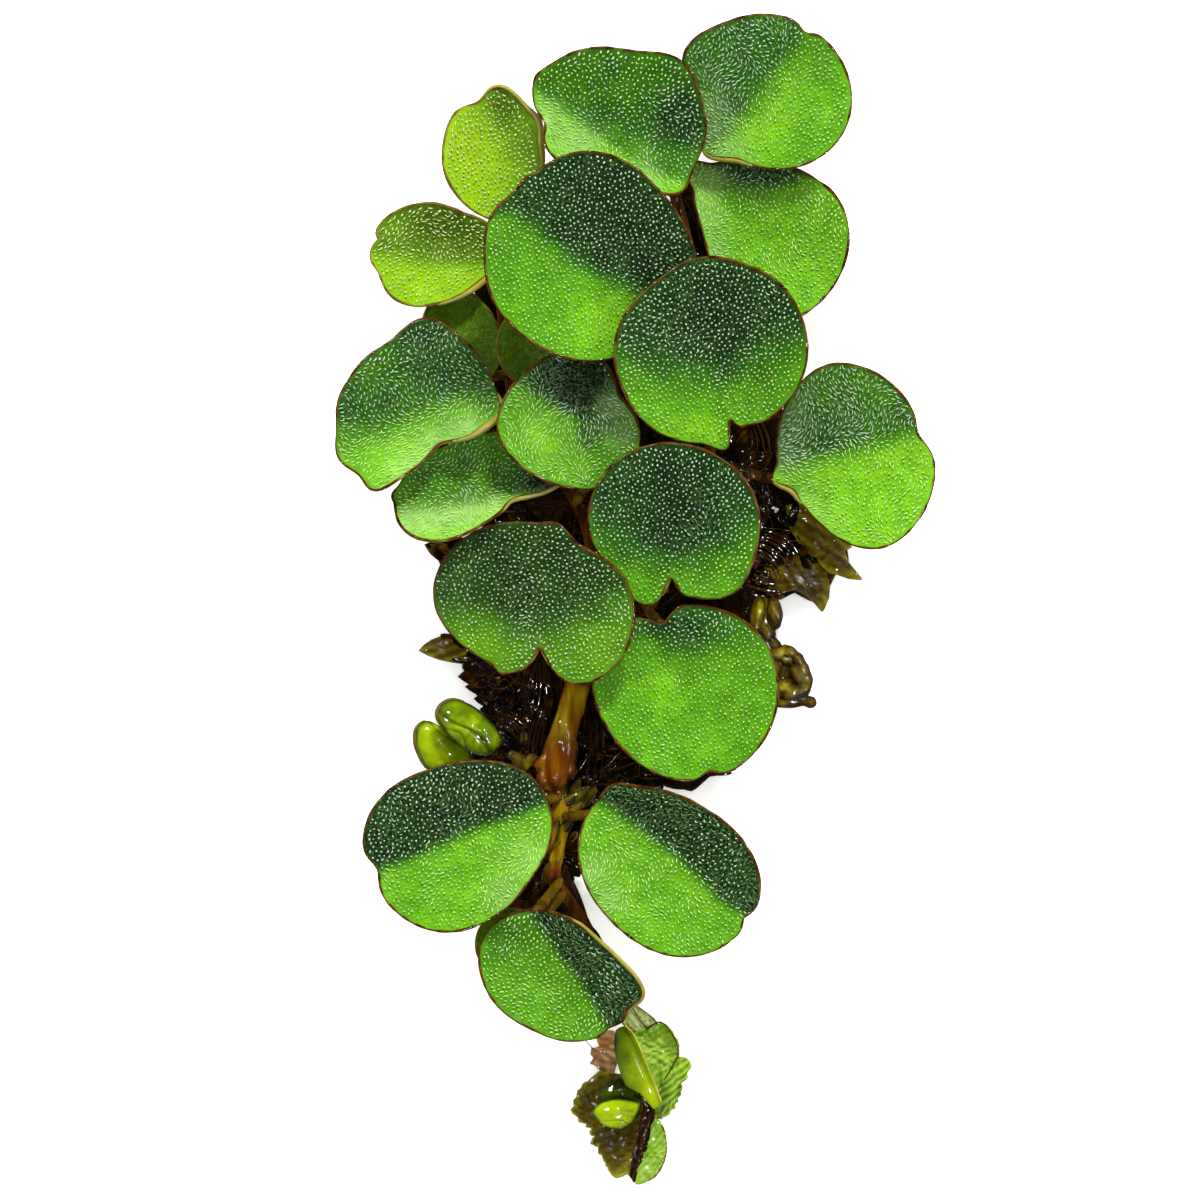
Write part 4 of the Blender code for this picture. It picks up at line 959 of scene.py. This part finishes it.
# Olive, swollen ends of fronds: beads as (picture x and y, height, half sizes, heading)
knobPlans = {
    "frond_knob_high": (
        (758, 614, 1.15, (1.5, 0.6, 0.95), 80), (775, 613, 1.15, (1.3, 0.6, 0.95), 97),
        (766, 612, 0.95, (1.5, 0.5, 0.6), 90), (767, 632, 1.0, (0.8, 0.62, 0.7), 120),
        (755, 630, 0.8, (0.8, 0.7, 0.6), 50), (776, 645, 0.9, (0.7, 0.42, 0.5), 120)),
    "frond_knob_low": (
        (778, 654, 1.1, (0.9, 0.55, 0.8), 10), (789, 652, 1.2, (0.75, 0.5, 0.8), -25),
        (798, 659, 1.3, (0.8, 0.48, 0.85), -50), (804, 669, 1.3, (0.85, 0.45, 0.85), -62),
        (808, 680, 1.2, (0.8, 0.42, 0.8), -85), (804, 690, 1.2, (0.7, 0.5, 0.8), -130),
        (795, 692, 1.3, (0.95, 0.55, 0.8), 20), (798, 675, 1.4, (0.85, 0.52, 0.8), -62),
        (788, 674, 0.8, (1.3, 1.1, 0.4), 0), (785, 686, 1.25, (0.65, 0.6, 0.8), 40),
        (789, 661, 1.1, (0.7, 0.4, 0.7), -20), (787, 703, 0.9, (1.3, 0.4, 0.5), 0),
        (803, 700, 0.85, (0.8, 0.45, 0.5), -10), (811, 702.5, 0.9, (0.5, 0.45, 0.5), -35),
        (772, 690, 1.0, (1.0, 0.9, 0.8), 70), (770, 670, 1.0, (1.2, 0.9, 0.8), 80)),
}
for name, beads in knobPlans.items():
    bm = bmesh.new()
    addBeads(bm, beads, 0, 3.1, 0.06)
    knob = objectFrom(name + "_swollen", bm, [finishes["olive"]])
    paintShade(knob, knobTone)
    attach(knob, name, "frond_olive")
print("knobs done", len(knobPlans))


# The creeping stem, branch by branch: (x, y, z, radius) in mm, beads where it is swollen or scaly, and tone
stemUsual = dict(beads=())
stemPlans = {
    "stem_lower": dict(
        route=((0.6, -35.6, 2.2, 0.32), (0.2, -31.6, 2.5, 0.36), (-1.7, -26.2, 2.9, 0.42),
            (-4.3, -22.0, 3.0, 0.42), (-5.7, -19.8, 3.1, 0.46), (-5.3, -17.4, 3.1, 0.4), (-5.0, -15.2, 3.2, 0.42),
            (-5.6, -13.6, 3.3, 0.5), (-5.7, -12.6, 3.7, 1.15), (-5.3, -10.9, 3.8, 1.25), (-4.95, -9.2, 3.7, 0.96),
            (-4.2, -6.6, 3.6, 0.92), (-3.3, -3.9, 3.4, 0.8), (-2.0, -1.6, 3.2, 0.55)),
        beads=(
            (545, 776, 3.9, (0.95, 0.62, 0.85), 80), (554, 779, 4.0, (0.75, 0.5, 0.8), 100),
            (543, 763, 4.0, (0.75, 0.5, 0.7), 50), (569, 768, 3.9, (0.8, 0.5, 0.8), 100),
            (560, 752, 4.2, (1.1, 0.45, 0.75), 70), (573, 752, 4.0, (1.0, 0.4, 0.7), 85),
            (552, 876, 3.3, (0.8, 0.5, 0.45), 80), (556, 856, 3.35, (0.9, 0.42, 0.4), 70),
            (551, 838, 3.4, (0.8, 0.4, 0.4), 80), (556, 812, 3.4, (1.0, 0.45, 0.45), 70)),
        shade=0.78),
    # The stem and branches under the leaves show only in the dark gaps, so their tone is kept low: a painted shade.
    "stem_upper": dict(
        route=((-1.3, -1.0, 3.2, 0.45), (0.8, -0.5, 3.2, 0.45), (2.0, 1.4, 3.2, 0.45), (4.2, 5.8, 3.2, 0.45),
            (5.3, 10.0, 3.2, 0.45), (5.6, 15.8, 3.2, 0.45), (4.7, 21.4, 3.2, 0.45), (3.6, 26.4, 3.2, 0.42),
            (2.9, 29.4, 3.1, 0.4), (3.5, 31.4, 3.1, 0.4), (4.7, 33.3, 3.1, 0.36)),
        shade=0.12),
    "stem_branch_left": dict(
        route=((-2.5, -0.3, 3.1, 0.4), (-3.0, 2.6, 3.1, 0.4), (-3.6, 5.8, 3.0, 0.4), (-5.6, 9.2, 2.9, 0.38),
            (-8.2, 13.0, 2.9, 0.38), (-9.2, 17.4, 2.9, 0.38), (-9.6, 22.4, 2.9, 0.38), (-9.8, 26.4, 2.9, 0.34)),
        shade=0.1),
    "stem_branch_right": dict(
        route=((6.1, 9.8, 3.1, 0.38), (7.8, 9.2, 3.1, 0.38), (9.9, 8.7, 3.1, 0.36)),
        shade=0.0),
    "stem_side_shoot": dict(
        route=((-7.5, -12.0, 3.4, 0.42), (-8.1, -11.5, 3.4, 0.5), (-9.0, -10.9, 3.5, 0.3)),
        beads=(
            (532, 760, 3.6, (0.55, 0.5, 0.5), 0), (524, 763, 3.5, (0.6, 0.32, 0.4), -50)),
        shade=0.6),
}
# the bands change the colour along the old stem; the last one darkens its upper end under the leaves, a painted
# shadow of the leaves above with some wet darkening
lowerBands = ((-9.0, -11.2, 0.42), (-13.2, -13.8, -0.34), (-18.4, -19.6, 0.6), (-6.9, -5.2, 0.5))  # y to y, darker by


def splineThrough(knots, steps):  # Catmull-Rom through all numbers of each knot, from the second to the last but one
    line = []
    for a, b, c, d in zip(knots, knots[1:], knots[2:], knots[3:]):
        for number in range(steps):
            t = number / steps
            line.append([0.5 * (2 * q + (r - p) * t + (2 * p - 5 * q + 4 * r - s) * t * t
                                + (3 * q - p - 3 * r + s) * t ** 3) for p, q, r, s in zip(a, b, c, d)])
    return line


def smoothRoute(knots, steps):
    return splineThrough([knots[0], *knots, knots[-1]], steps) + [list(knots[-1])]


def softOutline(points):  # a closed outline without corners
    return splineThrough([points[-1], *points, points[0], points[1]], 4)


# painted shade: darker where the skin faces sideways or down and towards its right-hand side; the bands change the
# colour along the old stem
def stemTone(name, plan, line, point, up):
    fibres = mottle(Vector((point.x * 2, point.y * 0.4, point.z)), 1.0, 2)
    bands = lowerBands if name == "stem_lower" else ()
    banded = sum(change * smooth(start, end, point.y) for start, end, change in bands)
    middle = min(line, key=lambda knot: abs(knot[1] - point.y))[0]
    return (plan["shade"] - 0.3 * (1 - max(0, up)) + 0.4 * fibres - banded
            - 0.25 * smooth(0.3, 1.1, point.x - middle))


for name, plan in stemPlans.items():
    plan = stemUsual | plan
    line = smoothRoute(plan["route"], 8)
    tube = strandObject(name + "_skin", [([Vector(knot[:3]) for knot in line], [knot[3] for knot in line], 0, False)],
                        [finishes["olive" if name == "stem_side_shoot" else "stem"]], 6)
    bm = bmesh.new()
    bm.from_mesh(tube.data)
    bmesh.ops.scale(bm, vec=(1 / mm, 1 / mm, 1 / mm), verts=bm.verts)
    addBeads(bm, plan["beads"], 5, 2.3, 0.08)
    for vert in bm.verts:  # lengthwise grooves
        vert.co += vert.normal * 0.09 * noise.noise(Vector((vert.co.x * 2.6, vert.co.y * 0.5, vert.co.z * 2.6)))
    bmesh.ops.scale(bm, vec=(mm, mm, mm), verts=bm.verts)
    bm.to_mesh(tube.data)
    bm.free()
    tube.data.shade_smooth()
    paintShade(tube, lambda point, up: stemTone(name, plan, line, point, up))
    attach(tube, name, "stem")

# small scale leaves along the old stem: root, tip, width, heights, bend, tone
scalePlans = (
    ((558, 806), (563, 776), 16, (3.4, 3.8), 0.1, 0.5), ((552, 816), (577, 793), 8, (3.5, 3.7), 0.12, 0.62),
    ((562, 824), (583, 802), 10, (3.4, 3.6), 0.05, 0.55), ((560, 832), (572, 816), 9, (3.5, 3.7), -0.1, 0.7),
    ((566, 812), (590, 786), 9, (3.0, 3.3), 0.12, 0.5), ((549, 846), (558, 820), 9, (3.5, 3.7), 0.0, 0.6),
    ((552, 862), (560, 840), 8, (3.4, 3.6), 0.1, 0.5), ((546, 884), (553, 860), 11, (3.4, 3.6), 0.0, 0.45),
    ((546, 800), (542, 822), 8, (3.0, 2.9), 0.0, 0.4), ((580, 806), (597, 788), 12, (2.6, 2.8), 0.1, 0.45),
    ((572, 802), (580, 780), 9, (3.0, 3.2), 0.1, 0.4), ((556, 800), (549, 788), 8, (3.5, 3.6), 0.0, 0.6))
bm = bmesh.new()
bm.verts.layers.float.new("shade")
for base, tip, width, heights, bend, tone in scalePlans:
    addLobe(bm, spot(*base), spot(*tip), width / view["pixelsPerMm"], heights, bend, tone, -2.5)
scales = objectFrom("stem_lower_scales", bm, [finishes["olive"]])
thicken(scales, 0.18)
attach(scales, "stem_lower", "stem")
print("stems done", len(stemPlans))


# Leaves that are still folded to a plump bean: outline in the picture, middle height and half height in mm,
# and seams (place from 0 to 1 across, depth, waviness) that run lengthwise along the heading
beanPlans = {
    "bean_leaf_upper": dict(
        outline=((438.8, 707.8), (451, 699.6), (469, 703.7), (487.8, 718), (501, 738), (497, 750.6), (484, 756),
            (467, 750.6), (449, 735), (437.8, 720)),
        height=4.4, half=1.1, heading=-42, seams=((-0.1, 0.13, 0.5), (-0.62, 0.08, 2.0)), shade=0.5),
    "bean_leaf_lower": dict(
        outline=((414.5, 736), (418, 725.5), (428, 721), (445, 730), (460, 743), (472, 756), (464, 770),
            (430, 771), (417, 752)),
        height=2.2, half=0.92, heading=-40, seams=((0.55, 0.1, 1.0),), shade=0.66),
    "bud_leaf_bean": dict(
        outline=((592.3, 1112.8), (597.4, 1106.4), (603.8, 1102.6), (614, 1100.6), (624.4, 1100.6),
            (634.6, 1102.6), (640.4, 1104.5), (638.5, 1111.5), (634.6, 1119.2), (628.2, 1126.3), (619.2, 1129.5),
            (610.3, 1128.8), (601.3, 1124.4), (595.5, 1118)),
        height=2.95, half=0.95, heading=-18, seams=((-0.5, 0.07, 0.0),), shade=0.8),
}


def beanLeaf(name, plan):
    corners, middle = outlineOf(softOutline(plan["outline"]))
    bm = bmesh.new()
    bmesh.ops.create_uvsphere(bm, u_segments=96, v_segments=56, radius=1)
    shade = bm.verts.layers.float.new("shade")
    for vert in bm.verts:
        co = vert.co.copy()
        angle = angleOf(co)
        wide = math.hypot(co.x, co.y)
        place = middle + turned(angle) * (wide * rayReach(corners, middle, angle))
        aslant = math.radians(gap(angle, plan["heading"]))
        along, across = math.cos(aslant) * wide, math.sin(aslant) * wide
        groove = 0.0
        for where, depth, wave in plan["seams"]:
            off = across - where - 0.12 * math.sin(3 * along + wave)
            groove += depth * math.exp(-(off / 0.06) ** 2) * smooth(-0.1, 0.2, co.z) * smooth(0.98, 0.8, abs(along))
        folds = abs(noise.noise(Vector((along * 3, across * 5, plan["height"]))))
        creased = 0.08 * smooth(0.12, 0.0, folds) * smooth(-0.3, 0.5, along)
        relief = (0.05 * noiseAt(place, plan["height"], 1.1) - groove - creased) * (1 if co.z > 0 else 0)
        vert.co = (place.x, place.y, plan["height"] + co.z * plan["half"] + relief)
        mottled = plan["shade"] + 0.4 * mottle(vert.co, 0.8, 1) + 0.2 * mottle(vert.co, 2.4, 4)
        # painted shade in the seams and creases and a painted light towards the top; darker towards the outline
        vert[shade] = clamp(mottled - 3.5 * groove - creased + 0.12 * co.z - 0.5 * smooth(0.82, 1.0, wide))
    return objectFrom(name + "_plump", bm, [finishes["bean"]])


for name, plan in beanPlans.items():
    attach(beanLeaf(name, plan), name, "bud_leaf")
    if name.startswith("bean"):  # the brown hem of the folded margin lies along the side towards the old end
        hem = [spot(*point) for point in softOutline(plan["outline"])]
        hem = [Vector((point.x, point.y, plan["height"] + 0.15)) for point in hem[-8:] + hem[:8]]
        hemRadii = [0.05 + 0.12 * math.sin(math.pi * number / (len(hem) - 1)) for number in range(len(hem))]
        attach(strandObject(name + "_hem", [(hem, hemRadii, 0, False)], [finishes["youngRim"]], 1), name, "bud_leaf")
print("beans done", len(beanPlans))


# Thin sheets of the fronds and of the growing tip: outline, heights at the middle and the margin, ripples (count
# round the margin, depth), wrinkles, a tilt (heading, rise per mm), tone, lighter hem, ribs (heading, spacing in mm,
# strength), a fade (heading, lighter per mm) and finish
sheetUsual = dict(ripples=(0, 0.0), tilt=(0, 0.0), hem=0.0, fade=(0, 0.0))
sheetPlans = {
    "frond_right": (
        dict(
            part="starHigh",
            outline=((786, 506), (805, 498), (824, 506), (838, 519), (844, 532), (853, 547), (846, 551.5),
                (849, 561), (856, 570), (864, 578), (862, 580.5), (849, 579), (838, 575), (829, 573), (818, 562),
                (802, 548), (790, 528)),
            heights=(2.45, 1.4), ripples=(9, 0.12), crease=0.2, tilt=(150, 0.1), shade=0.66, hem=0.4,
            veins=(-35, 0.7, 0.14), finish="olive"),
        dict(
            part="starLow",
            outline=((768, 560), (780, 548), (800, 548), (816, 560), (827, 572), (831, 585), (830, 598),
                (825, 610), (822, 613), (818, 607), (808, 596), (796, 590), (783, 593), (770, 590), (760, 578)),
            heights=(2.2, 1.3), ripples=(7, 0.12), crease=0.2, tilt=(120, 0.06), shade=0.5, hem=0.4,
            veins=(-55, 0.7, 0.14), finish="olive")),
    "frond_left_low": (
        dict(
            part="tip",
            outline=((417.5, 651), (423, 645), (431, 639.5), (440, 636), (449, 636), (462, 646), (478, 664),
                (466, 665), (452, 663), (438, 660), (427, 656)),
            heights=(1.8, 1.1), ripples=(6, 0.1), crease=0.16, tilt=(0, 0.05), shade=0.66, hem=0.1,
            veins=(18, 0.6, 0.2), finish="olive"),),
    "bud_leaf_folded": (
        dict(
            part="inner",
            outline=((634.6, 1034.6), (646, 1030), (656.4, 1027), (660.3, 1022.5), (665.4, 1026), (671.8, 1034),
                (676.6, 1042), (678.6, 1051.3), (677.6, 1059), (671.8, 1068), (665.4, 1077), (660.3, 1087),
                (658.5, 1096), (652, 1082), (643, 1062), (637, 1046)),
            heights=(3.55, 4.15), ripples=(22, 0.05), crease=0.22, tilt=(20, 0.14), shade=0.66, hem=-0.2,
            veins=(28, 0.4, 0.12), finish="budGreen"),
        dict(
            part="outer",
            outline=((615.4, 1030.8), (619.9, 1027.6), (625.6, 1026.3), (630, 1028.8), (632.7, 1033.3),
                (635.9, 1037.2), (639.7, 1047.4), (644.9, 1061.5), (650, 1073), (656.4, 1088.5), (661.5, 1102.6),
                (659.6, 1107), (653.8, 1110.3), (646, 1101.3), (639.7, 1093.6), (630.8, 1089.7), (625.6, 1085.9),
                (621.2, 1076.9), (618, 1066.7), (614.7, 1053.8), (614, 1042.3)),
            heights=(4.7, 3.9), crease=0.0, tilt=(20, 0.12), shade=0.56, hem=-0.3, veins=(-65, 1.4, 0.05),
            fade=(-40, 0.14), finish="bean")),
    "bud_leaf_half": (
        dict(
            part="green",
            outline=((656.4, 1119), (661.5, 1124.4), (664.7, 1133.3), (666.4, 1144.9), (665.8, 1157.7),
                (661.5, 1169.2), (655, 1178.2), (646, 1183.8), (639.7, 1186.2), (635.4, 1185.6), (637, 1176),
                (642.3, 1162.8), (647.4, 1150), (650, 1138.5), (651.3, 1128.2)),
            heights=(2.6, 2.55), ripples=(24, 0.05), crease=0.16, tilt=(0, 0.06), shade=0.66,
            veins=(48, 0.36, 0.12), finish="budGreen"),
        dict(
            part="fold",
            outline=((635.2, 1185.6), (629.5, 1178), (632, 1155), (639, 1128), (645, 1100), (656, 1106),
                (652, 1128.2), (650, 1140), (647.4, 1152), (642.3, 1165), (638.5, 1176)),
            heights=(2.3, 2.15), crease=0.12, tilt=(0, 0.05), shade=0.5, hem=0.1, veins=(75, 0.5, 0.16),
            finish="mass")),
    "bud_leaf_dark": (
        dict(
            part="green",
            outline=((598, 1097), (603, 1087), (611, 1081.5), (620, 1079.5), (627, 1081), (634, 1090), (639, 1100),
                (637, 1105), (620, 1104), (606, 1102)),
            heights=(2.6, 2.1), crease=0.05, tilt=(60, 0.05), shade=0.08, veins=(0, 1.0, 0.1), finish="bean"),),
    "bud_sheath": (
        dict(
            part="skin",
            outline=((632, 1003), (641, 1009), (650, 1016), (658, 1024), (657, 1030), (646, 1032), (636, 1034),
                (627, 1030), (622.5, 1024), (628, 1014)),
            heights=(4.0, 3.75), crease=0.12, tilt=(60, 0.03), shade=0.6, veins=(-50, 0.3, 0.12), finish="pale"),),
    "bud_frond_left": (
        dict(
            part="sheet",
            outline=((600, 1071.8), (593.6, 1077), (588.5, 1082), (584, 1084), (580.8, 1089.7), (577, 1092),
                (577, 1098), (572.6, 1102), (575.5, 1106.5), (571, 1110), (572, 1115.5), (577, 1118),
                (580, 1122.6), (586.5, 1121.7), (586, 1128.2), (592.3, 1128.8), (590, 1136), (595.4, 1138),
                (591.7, 1146), (598.4, 1148.3), (597, 1156), (604, 1157), (602, 1163.8), (609.3, 1165),
                (607.6, 1172), (612.8, 1177.6), (616, 1180), (621.8, 1178.8), (626.9, 1175.3), (631, 1180),
                (640, 1165), (646, 1140), (648, 1110), (640, 1090), (622, 1076)),
            heights=(1.0, 1.0), ripples=(31, 0.1), crease=0.22, tilt=(200, 0.0), shade=0.5, hem=0.6,
            veins=(205, 0.55, 0.12), fade=(215, 0.1), finish="tipOlive"),
        dict(
            part="lobes",
            outline=((614, 1076), (600, 1072), (594, 1067), (589.5, 1065.5), (595, 1062), (590, 1056),
                (590.5, 1050), (597, 1048.5), (606, 1045), (598, 1036), (593, 1034), (596, 1027), (604, 1031),
                (614, 1032), (622, 1050)),
            heights=(1.35, 0.9), ripples=(11, 0.12), crease=0.1, shade=0.62, hem=0.3, veins=(160, 0.5, 0.12),
            finish="blush")),
    "bud_frond_right": (
        dict(
            part="sheet",
            outline=((676, 1058), (684.6, 1058.3), (690.4, 1062.8), (692, 1069.2), (687.5, 1073.4),
                (687.9, 1078.5), (681.5, 1083.6), (682.5, 1091.3), (678.5, 1097.7), (677, 1104), (670.5, 1114),
                (664, 1119.2), (656, 1121), (649, 1116), (648, 1104), (658, 1088), (666, 1074)),
            heights=(1.2, 1.1), ripples=(29, 0.1), crease=0.12, shade=0.66, hem=0.2, veins=(38, 0.42, 0.3),
            finish="budGreen"),),
}


def youngSheet(name, sheet):
    middle = outlineOf(sheet["outline"])[1]

    def ribAt(place):  # 1 along each rib and 0 between them
        heading, spacing, strength = sheet["veins"]
        across = (place - middle).dot(turned(heading + 90)) + 0.2 * noiseAt(place, 7, 1.3)
        return strength * math.cos(2 * math.pi * across / spacing)

    def surface(place, share, angle):
        count, depth = sheet["ripples"]
        tilted = (place - middle).dot(turned(sheet["tilt"][0])) * sheet["tilt"][1]
        wrinkle = sheet["crease"] * noise.noise(Vector((place.x * 2.2, place.y * 3.4, sheet["heights"][0])))
        ribs = depth * math.cos(math.radians(angle * count)) * smooth(0.3, 1.0, share)
        return between(sheet["heights"], share ** 2) + tilted + wrinkle + ribs + 0.2 * ribAt(place)

    def toneOf(point, share):
        heading, fade = sheet["fade"]
        mottled = sheet["shade"] + 0.2 * mottle(point, 1.0, 4) + 0.1 * mottle(point, 3.0, 6)
        tone = mottled + sheet["hem"] * (share ** 4 - 0.3)
        # the rib crests, raised in the surface, are painted lighter and the hollows between them darker: a painted
        # highlight and shade along the relief
        return tone + 0.8 * ribAt(point.xy) + fade * (point.xy - middle).dot(turned(heading))

    bm = outlineSheet(sheet["outline"], 26, 144, surface, toneOf)
    piece = objectFrom(f"{name}_{sheet['part']}", bm, [finishes[sheet["finish"]]])
    thicken(piece, 0.2)
    return piece


def budLine(points, width):  # a margin or thread: (px, py, height) points
    line = smoothRoute([(*spot(px, py), height) for px, py, height in points], 4)
    return [Vector(point) for point in line], [width] * len(line), 0, False


def tipSlot(name):
    return "frond_brown" if name in frondPlans else "frond_olive" if "frond" in name else "bud_leaf"


# Margins and threads at the growing tip: node, part, finish, radius in mm, lines as (picture x and y, height)
budLines = (
    ("bud_leaf_folded", "fold", "gold", 0.06,
     ((625.6, 1026.3, 4.3), (632.7, 1033.3, 4.75), (639.7, 1047.4, 4.8), (650, 1073, 4.75), (656.4, 1088.5, 4.5),
      (661.5, 1102.6, 4.2))),
    ("bud_leaf_folded", "margin", "rim", 0.055,
     ((646, 1030, 4.1), (660.3, 1022.5, 4.35), (671.8, 1034, 4.55), (678.6, 1051.3, 4.6), (671.8, 1068, 4.4),
      (660.3, 1087, 3.9), (658.5, 1096, 3.8))),
    ("bud_leaf_half", "margin", "rim", 0.06,
     ((656.4, 1119, 2.5), (664.7, 1133.3, 2.6), (665.8, 1157.7, 2.6), (655, 1178.2, 2.5), (635.6, 1185.4, 2.3))),
    ("bud_sheath", "ribs", "rim", 0.04,
     ((632, 1003, 3.95), (650, 1016, 3.95), (658, 1024, 3.9)),
     ((627, 1014, 3.9), (622.5, 1024, 3.8), (636, 1034, 3.8)),
     ((631, 1006, 4.1), (640, 1020, 4.1), (648, 1030, 3.95))),
    ("bud_frond_left", "thread", "blush", 0.04, ((586, 1042, 1.0), (589, 1046, 1.1), (594, 1051, 1.2))),
)
for name, sheets in sheetPlans.items():
    for sheet in sheets:
        attach(youngSheet(name, sheetUsual | sheet), name, tipSlot(name))
for name, part, finish, width, *lines in budLines:
    strands = [budLine(line, width) for line in lines]
    attach(strandObject(f"{name}_{part}", strands, [finishes[finish]], 1), name, tipSlot(name))
print("sheets done", len(sheetPlans))


floorLook = dict(halfSize=3, below=0.0001, roughness=0.9, specular=0.2, white=0.96, glow=0.3)  # metres
studioLamps = (  # name, energy, size and place in metres
    ("key", 7.0, 0.10, (0.10, 0.50, 0.45)), ("sparkLeft", 3.2, 0.055, (-0.32, 0.30, 0.45)),
    ("sparkRight", 2.4, 0.035, (0.34, 0.10, 0.50)), ("sparkLow", 2.4, 0.035, (0.16, -0.32, 0.50)),
    ("sparkHigh", 1.0, 0.022, (0.06, 0.20, 0.58)))
skyGlow = (2.9, 0.8, 0.05)  # at the horizon, overhead, and the share of it that wet parts mirror


def studio():
    floor = inScene("floor", bpy.data.meshes.new("floor"))
    bm = bmesh.new()
    bmesh.ops.create_grid(bm, x_segments=1, y_segments=1, size=floorLook["halfSize"])
    bmesh.ops.translate(bm, vec=(0, 0, -floorLook["below"]), verts=bm.verts)
    bm.to_mesh(floor.data)
    bm.free()
    white, _, shader = newMaterial("floorWhite", floorLook["roughness"], 0.0, floorLook["specular"])
    shader.inputs["Base Color"].default_value = (*(floorLook["white"],) * 3, 1)
    shader.inputs["Emission Color"].default_value = (1, 1, 1, 1)
    shader.inputs["Emission Strength"].default_value = floorLook["glow"]
    floor.data.materials.append(white)
    floor.visible_glossy = False  # wet parts mirror a dark room, as under a lamp with a hood
    for name, energy, size, place in studioLamps:
        lamp = bpy.data.lights.new(name, "AREA")
        lamp.energy = energy
        lamp.size = size
        light = inScene(name, lamp)
        light.location = place
        light.rotation_euler = (-Vector(place)).to_track_quat("-Z", "Y").to_euler()
        light.visible_diffuse = name == "key"  # the small lamps only glint in what is wet
        light.visible_glossy = name != "key"
    world = bpy.data.worlds.new("studio")
    world.use_nodes = True
    tree = world.node_tree
    upward = addNode(tree, "ShaderNodeSeparateXYZ")
    tree.links.new(addNode(tree, "ShaderNodeTexCoord").outputs["Generated"], upward.inputs[0])
    glow = rescale(tree, upward.outputs["Z"], 0.0, 1.0, skyGlow[0], skyGlow[1])
    mirrored = addNode(tree, "ShaderNodeLightPath").outputs["Is Glossy Ray"]
    glow = calculate(tree, "MULTIPLY", glow, rescale(tree, mirrored, 0.0, 1.0, 1.0, skyGlow[2]))
    tree.links.new(glow, tree.nodes["Background"].inputs["Strength"])
    tree.nodes["Background"].inputs["Color"].default_value = (1, 1, 1, 1)
    bpy.context.scene.world = world
    bpy.context.scene.view_settings.view_transform = "Standard"


def camera():
    seen = bpy.data.cameras.new("camera")
    seen.lens = seen.sensor_width * (view["height"] - view["leafLevel"]) / (view["frame"] / view["pixelsPerMm"] * mm)
    seen.clip_start = 0.1
    seen.clip_end = 10
    eye = inScene("camera", seen)
    middle = spot(view["frame"] / 2, view["frame"] / 2) * mm
    eye.location = (middle.x, middle.y, view["height"])
    bpy.context.scene.camera = eye


studio()
camera()
